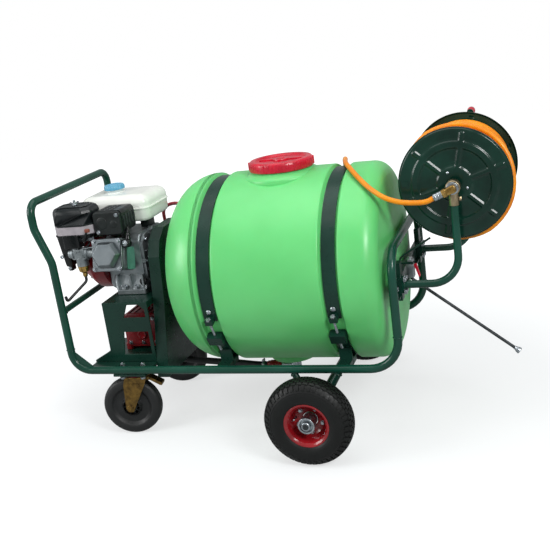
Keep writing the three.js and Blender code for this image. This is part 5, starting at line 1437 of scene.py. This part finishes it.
def mufflerShape():
    body = casting("y", muffler["x"], muffler["z"], muffler["y"], 13, 5, 5)
    x0, x1 = muffler["x"]
    seam = slab("xz", outlineBox((x0 - 1.6, x1 + 1.6), (643.4, 721.6), 14), -141, -138.4)
    dish = lathe("y", (x0 + 30, 0, 684), [(20, -151), (18, -153.4), (10, -154.6), (3, -154.8)], 3, 48)
    dent = lathe("y", (x1 - 26, 0, 680), [(12, -151), (11, -153), (3, -153.8)], 2, 40)
    pipe = lathe("z", (-612, -108, 0), [(12, 624), (12, 648)], 0.8, 32)
    lips = [casting("x", (y, y + 9), (662 + k * 2, 700 + k), (x1 - 1, x1 + 2.4), 4, 1.8, 3)
            for k, y in enumerate(louvreStarts())]
    return together(body, seam, dish, dent, pipe), together(*lips)


# Dark slabs in the louvres and dark discs on the roof: painted shade standing for openings in the sheet.
def mufflerOpeningShades():
    x1 = muffler["x"][1]
    holeShades = [slab("yz", outlineBox((y + 5.6, y + 9.2), (664 + k * 2, 698 + k), 1.7), x1 + 0.4, x1 + 2.1)
             for k, y in enumerate(louvreStarts())]
    holeShades += [lathe("z", (x, y, 0), [(4.6, 719), (4.6, 720.4)], 0.2, 24) for x, y in roofHoles]
    return together(*holeShades)


roofHoles = [(muffler["x"][0] + 26 + 17 * i, -126 + 18 * k) for i in range(3) for k in range(4)]
silencer, louvres = mufflerShape()
piece("muffler", silencer, heatEnamel, "cart", ["muffler"], sharp=42, even=True)
# The louvre lips are a paler grey metal than the black silencer: painted highlight along their edges.
piece("mufflerLouvres", louvres, castIronShadeAndHighlight, "cart", sharp=42)
piece("mufflerHoleShades", mufflerOpeningShades(), beltRubberAndHoleShade, "cart", sharp=40)
rims = together(*(ring("z", (x, y, 720.2), [(4.4, -0.4), (6, 0.5), (7, -0.4)], 28) for x, y in roofHoles))
piece("mufflerRims", rims, heatEnamel, "cart", sharp=60)
mufflerBolts = bolted([(-676, -152.4, 656), (-606, -152.4, 708)], (0, -1, 0), 9, 4, 6.5)
zincPart("mufflerBolts", mufflerBolts)
print("muffler built")

# Belt drive: place along x, shaft heights and the pulleys' pitch radii, in mm.
drive = {"x": -515, "engineZ": 538, "pumpZ": 300, "engineRadius": 38, "pumpRadius": 80, "beltDepth": 8}


def pulleyShape(z, radius, shaftEnd):
    x, flange = drive["x"], radius + 9
    loop = flat([(radius - 14, -9), (flange, -13), (flange, -9.4), (radius, -6.6), (radius, 6.6),
                 (flange, 9.4), (flange, 13), (radius - 14, 9)], 0.8, 30)
    rim = ring("x", (x, 0, z), loop, 72)
    web = lathe("x", (x, 0, z), [(radius - 10, -4), (radius - 10, 4)], 0.6, 48)
    hub = lathe("x", (x, 0, z), [(20, -13), (20, 13)], 1.5, 40)
    shaft = lathe("x", (0, 0, z), [(10, shaftEnd), (10, x + 15)], 0.8, 32)
    return together(rim, web, hub, shaft)


piece("enginePulley", pulleyShape(drive["engineZ"], drive["engineRadius"], -547.7), castIronShadeAndHighlight, "drive_pulley",
      ["engine_pulley"], sharp=40)
piece("pumpPulley", pulleyShape(drive["pumpZ"], drive["pumpRadius"], -555.7), castIronShadeAndHighlight, "driven_pulley",
      ["pump_pulley"], sharp=40)


def beltLine(small, large):
    reach = drive["engineZ"] - drive["pumpZ"]
    tip = math.asin((large - small) / reach)
    line = []
    for start, sweep, r, z in ((tip, math.pi - 2 * tip, small, drive["engineZ"]),
                               (math.pi - tip, math.pi + 2 * tip, large, drive["pumpZ"])):
        for k in range(33):
            a = start + sweep * k / 32
            line.append((r * math.cos(a), z + r * math.sin(a)))
    return line


def beltShape():
    low = beltLine(drive["engineRadius"] + 1, drive["pumpRadius"] + 1)
    top = drive["beltDepth"] + 1
    high = beltLine(drive["engineRadius"] + top, drive["pumpRadius"] + top)
    n = len(low)
    section = [(low, -4.6), (low, 4.6), (high, 7), (high, -7)]
    verts = [(drive["x"] + across, *line[k]) for line, across in section for k in range(n)]
    faces = []
    for s in range(4):
        a, b = s * n, ((s + 1) % 4) * n
        faces += [(a + k, a + (k + 1) % n, b + (k + 1) % n, b + k) for k in range(n)]
    return verts, faces


piece("driveBelt", beltShape(), beltRubberAndHoleShade, "cart", ["drive_belt"], sharp=35)
guardPlaces = [(-536, y, z) for y, z in ((-150, 300), (150, 300), (-110, 560), (110, 560))]
zincPart("guardBolts", bolted(guardPlaces, (-1, 0, 0), 10, 5, 8))
print("belt drive built")

# Pump: its case and the manifold's ends across, in mm.
pump = {"x": (-688, -560), "y": (-88, 36), "z": (246, 362), "manifold": (30, 95)}


def pumpCase():
    body = casting("y", pump["x"], pump["z"], pump["y"], 20, 5)
    cover = casting("y", (-678, -570), (256, 352), (-92, -86), 16, 2.5, 3)
    feet = [casting("z", (x - 9, x + 9), (-92, 30), (237.4, 262), 3, 2, 3) for x in (-680, -568)]
    boss = lathe("x", (0, 0, 300), [(34, -562), (26, -559), (26, -556.4)], 1.5, 48)
    ribs = [slab("yz", outlineBox((-80, 28), (360, 365), 1.5), x, x + 4) for x in (-666, -646, -602, -582)]
    glass = lathe("y", (-624, 0, 290), [(15, -93), (15, -96), (11, -97), (10, -95)], 0.8, 36)
    filler = together(lathe("z", (-624, -30, 0), [(13, 362), (13, 366)], 1, 32),
                      fluted("z", (-624, -30, 0), [(11, 366), (12, 378), (8, 381)], 10, 1.4, 9, 80))
    return together(body, cover, *feet, boss, *ribs, glass), filler


case, filler = pumpCase()
piece("pumpCase", case, maroonEnamel, "cart", ["pump_body"], sharp=40)
piece("pumpFiller", filler, redPolypropylene, "cart", sharp=45)
coverBolts = [(x, -92.4, z) for x in (-670, -624, -578) for z in (263, 345)]
footBolts = [(x, y, 262) for x in (-680, -568) for y in (-70, 10)]
pumpBolts = together(bolted(coverBolts, (0, -1, 0), 8, 4, 6), bolted(footBolts, (0, 0, 1), 12, 7, 9, 3))
zincPart("pumpBolts", pumpBolts)


def manifoldShape():
    block = casting("y", (-682, -570), (262, 336), pump["manifold"], 8, 3, 3)
    capLine = [(0, 94), (12, 94), (12.8, 95), (12.8, 103.6), (12, 104.8), (0, 104.8)]
    caps = [turned("y", (x, 0, 284), capLine, 6) for x in (-657, -627, -597)]
    outlet = lathe("y", (-600, 0, 318), [(11, 94), (11, 100), (10, 101), (10, 116.6)], 0.8, 36)
    nutLine = [(0, 101), (11.6, 101), (12.6, 102), (12.6, 109), (11.6, 110), (0, 110)]
    nut = turned("y", (-600, 0, 318), nutLine, 6)
    back = lathe("z", (-600, 72, 0), [(9, 333), (9, 346.8)], 0.8, 32)
    inlet = lathe("x", (0, 40, 292), [(12, -722), (12, -678)], 1, 36)
    drop = lathe("z", (-715, 40, 0), [(12.5, 270.4), (12.5, 298)], 2, 36)
    return together(block, *caps, outlet, nut, back, inlet, drop)


piece("pumpManifold", manifoldShape(), brass, "cart", bevel=0.5)
chamberLine = [(12, 330), (12, 342), (21, 350), (22, 376), (15, 390), (6, 394)]
piece("pumpChamber", lathe("z", (-640, 65, 0), chamberLine, 4, 48), blackPolypropylene, "cart",
      sharp=50)
piece("pumpRegulator", lathe("z", (-674, 65, 0), [(12, 331), (12, 345), (10, 346), (10, 371)], 0.8, 32),
      brass, "cart", sharp=40)
regulator = together(lathe("z", (-674, 65, 0), [(9, 371.4), (9, 381.6)], 1.2, 32),
                     casting("x", (61, 69), (376, 382), (-728, -670), 2.5, 2, 3))
piece("regulatorLever", regulator, redPolypropylene, "pressure_lever", ["regulator_lever"],
      sharp=40)
print("pump built")


# Collars where the hoses are clamped.
def hoseClamp(place, way, radius):
    out = radius + 1.4
    band = ring("z", (0, 0, 0), flat([(radius, -4.5), (out, -4.5), (out, 4.5), (radius, 4.5)], 0.3, 30), 40)
    screw = together(casting("z", (-6, 6), (radius + 1, radius + 7), (-4, 4), 1.5, 1, 2),
                     lathe("x", (0, radius + 4, 0), [(3.4, 5.6), (3.4, 10), (2.6, 10.6)], 0.5, 16))
    return moved(together(band, screw), aimed(place, way))


clamps = together(hoseClamp((-600, 128, 318), (0, 1, 0), 7.6), hoseClamp((-600, 72, 357), (0, 0, 1), 6.4),
                  hoseClamp((-715, 40, 261), (0, 0, 1), 11.4), hoseClamp((-252, 0, 141), (1, 0, 0), 11.4),
                  hoseClamp((-484, 110, 665), (1, 0, 0), 6.4))
zincPart("hoseClamps", clamps, 35)
print("clamps built")

# Stage and light: floor in metres; gloss is how much of the white surroundings polished surfaces see.
stageLook = {"floor": 12, "paper": "#a2a5a6", "world": 0.45, "gloss": 0.15, "white": "#ffffff"}


def backdropShare(tree):  # 1 where the camera or a clear piece looks at the background, less for reflections
    rays = addNode(tree, "ShaderNodeLightPath")
    clear = addNode(tree, "ShaderNodeMath", {"operation": "MAXIMUM"},
                    {0: rays.outputs["Is Camera Ray"], 1: rays.outputs["Is Transmission Ray"]})
    return addNode(tree, "ShaderNodeMath", {"operation": "MULTIPLY_ADD", 1: stageLook["gloss"]},
                   {0: rays.outputs["Is Glossy Ray"], 2: clear.outputs[0]}).outputs[0]


def setStage():
    bm = bmesh.new()
    half = stageLook["floor"] / 2
    corners = ((-half, -half), (half, -half), (half, half), (-half, half))
    bm.faces.new([bm.verts.new((x, y, -0.0004)) for x, y in corners])
    mesh = bpy.data.meshes.new("studioFloor")
    bm.to_mesh(mesh)
    bm.free()
    floor = bpy.data.objects.new("studioFloor", mesh)
    bpy.context.scene.collection.objects.link(floor)
    material = bpy.data.materials.new("paleStudioFloor")
    material.use_nodes = True
    tree = material.node_tree
    tree.nodes.clear()
    paper = addNode(tree, "ShaderNodeBsdfDiffuse", {"Color": linear(stageLook["paper"])})
    where = addNode(tree, "ShaderNodeNewGeometry").outputs["Position"]
    away = addNode(tree, "ShaderNodeVectorMath", {"operation": "LENGTH"}, {0: where}).outputs["Value"]
    fade = addNode(tree, "ShaderNodeMapRange", {"From Min": 0.8, "From Max": 2.2, "To Min": 0.62,
                                                "To Max": 1.0}, {"Value": away})
    share = addNode(tree, "ShaderNodeMath", {"operation": "MULTIPLY"},
                    {0: fade.outputs["Result"], 1: backdropShare(tree)})
    glow = addNode(tree, "ShaderNodeEmission", {"Color": linear(stageLook["white"])},
                   {"Strength": share.outputs[0]})
    mixed = addNode(tree, "ShaderNodeAddShader", links={0: paper.outputs[0], 1: glow.outputs[0]})
    addNode(tree, "ShaderNodeOutputMaterial", links={"Surface": mixed.outputs[0]})
    mesh.materials.append(material)


def setWorld():
    world = bpy.data.worlds.new("studioSky")
    bpy.context.scene.world = world
    world.use_nodes = True
    tree = world.node_tree
    tree.nodes.clear()
    sky = addNode(tree, "ShaderNodeBackground", {"Color": linear("#eef2f4"), "Strength": stageLook["world"]})
    plain = addNode(tree, "ShaderNodeBackground", {"Color": linear(stageLook["white"]), "Strength": 1.0})
    mixed = addNode(tree, "ShaderNodeMixShader", links={0: backdropShare(tree), 1: sky.outputs[0],
                                                        2: plain.outputs[0]})
    addNode(tree, "ShaderNodeOutputWorld", links={"Surface": mixed.outputs[0]})


def areaLight(name, place, target, size, power, colour="#ffffff"):
    data = bpy.data.lights.new(name, "AREA")
    data.shape = "RECTANGLE"
    data.size, data.size_y = size
    data.energy = power
    data.color = linear(colour)[:3]
    lamp = bpy.data.objects.new(name, data)
    turn = (Vector(target) - Vector(place)).to_track_quat("-Z", "Y")
    lamp.matrix_world = Matrix.Translation(place) @ turn.to_matrix().to_4x4()
    bpy.context.scene.collection.objects.link(lamp)


setStage()
setWorld()
areaLight("topPanel", (0, -0.3, 3.0), (0, 0, 0.4), (2.6, 2.6), 34)
areaLight("keyPanel", (-2.9, -1.75, 1.7), (0, 0, 0.45), (1.6, 1.6), 58)
areaLight("sidePanel", (2.12, -1.95, 2.2), (0.56, -0.13, 0.73), (0.9, 0.9), 56)
bpy.context.scene.view_settings.view_transform = "Standard"
print("stage set")

print("pieces", len(pieceCount), "faces", sum(pieceCount.values()))
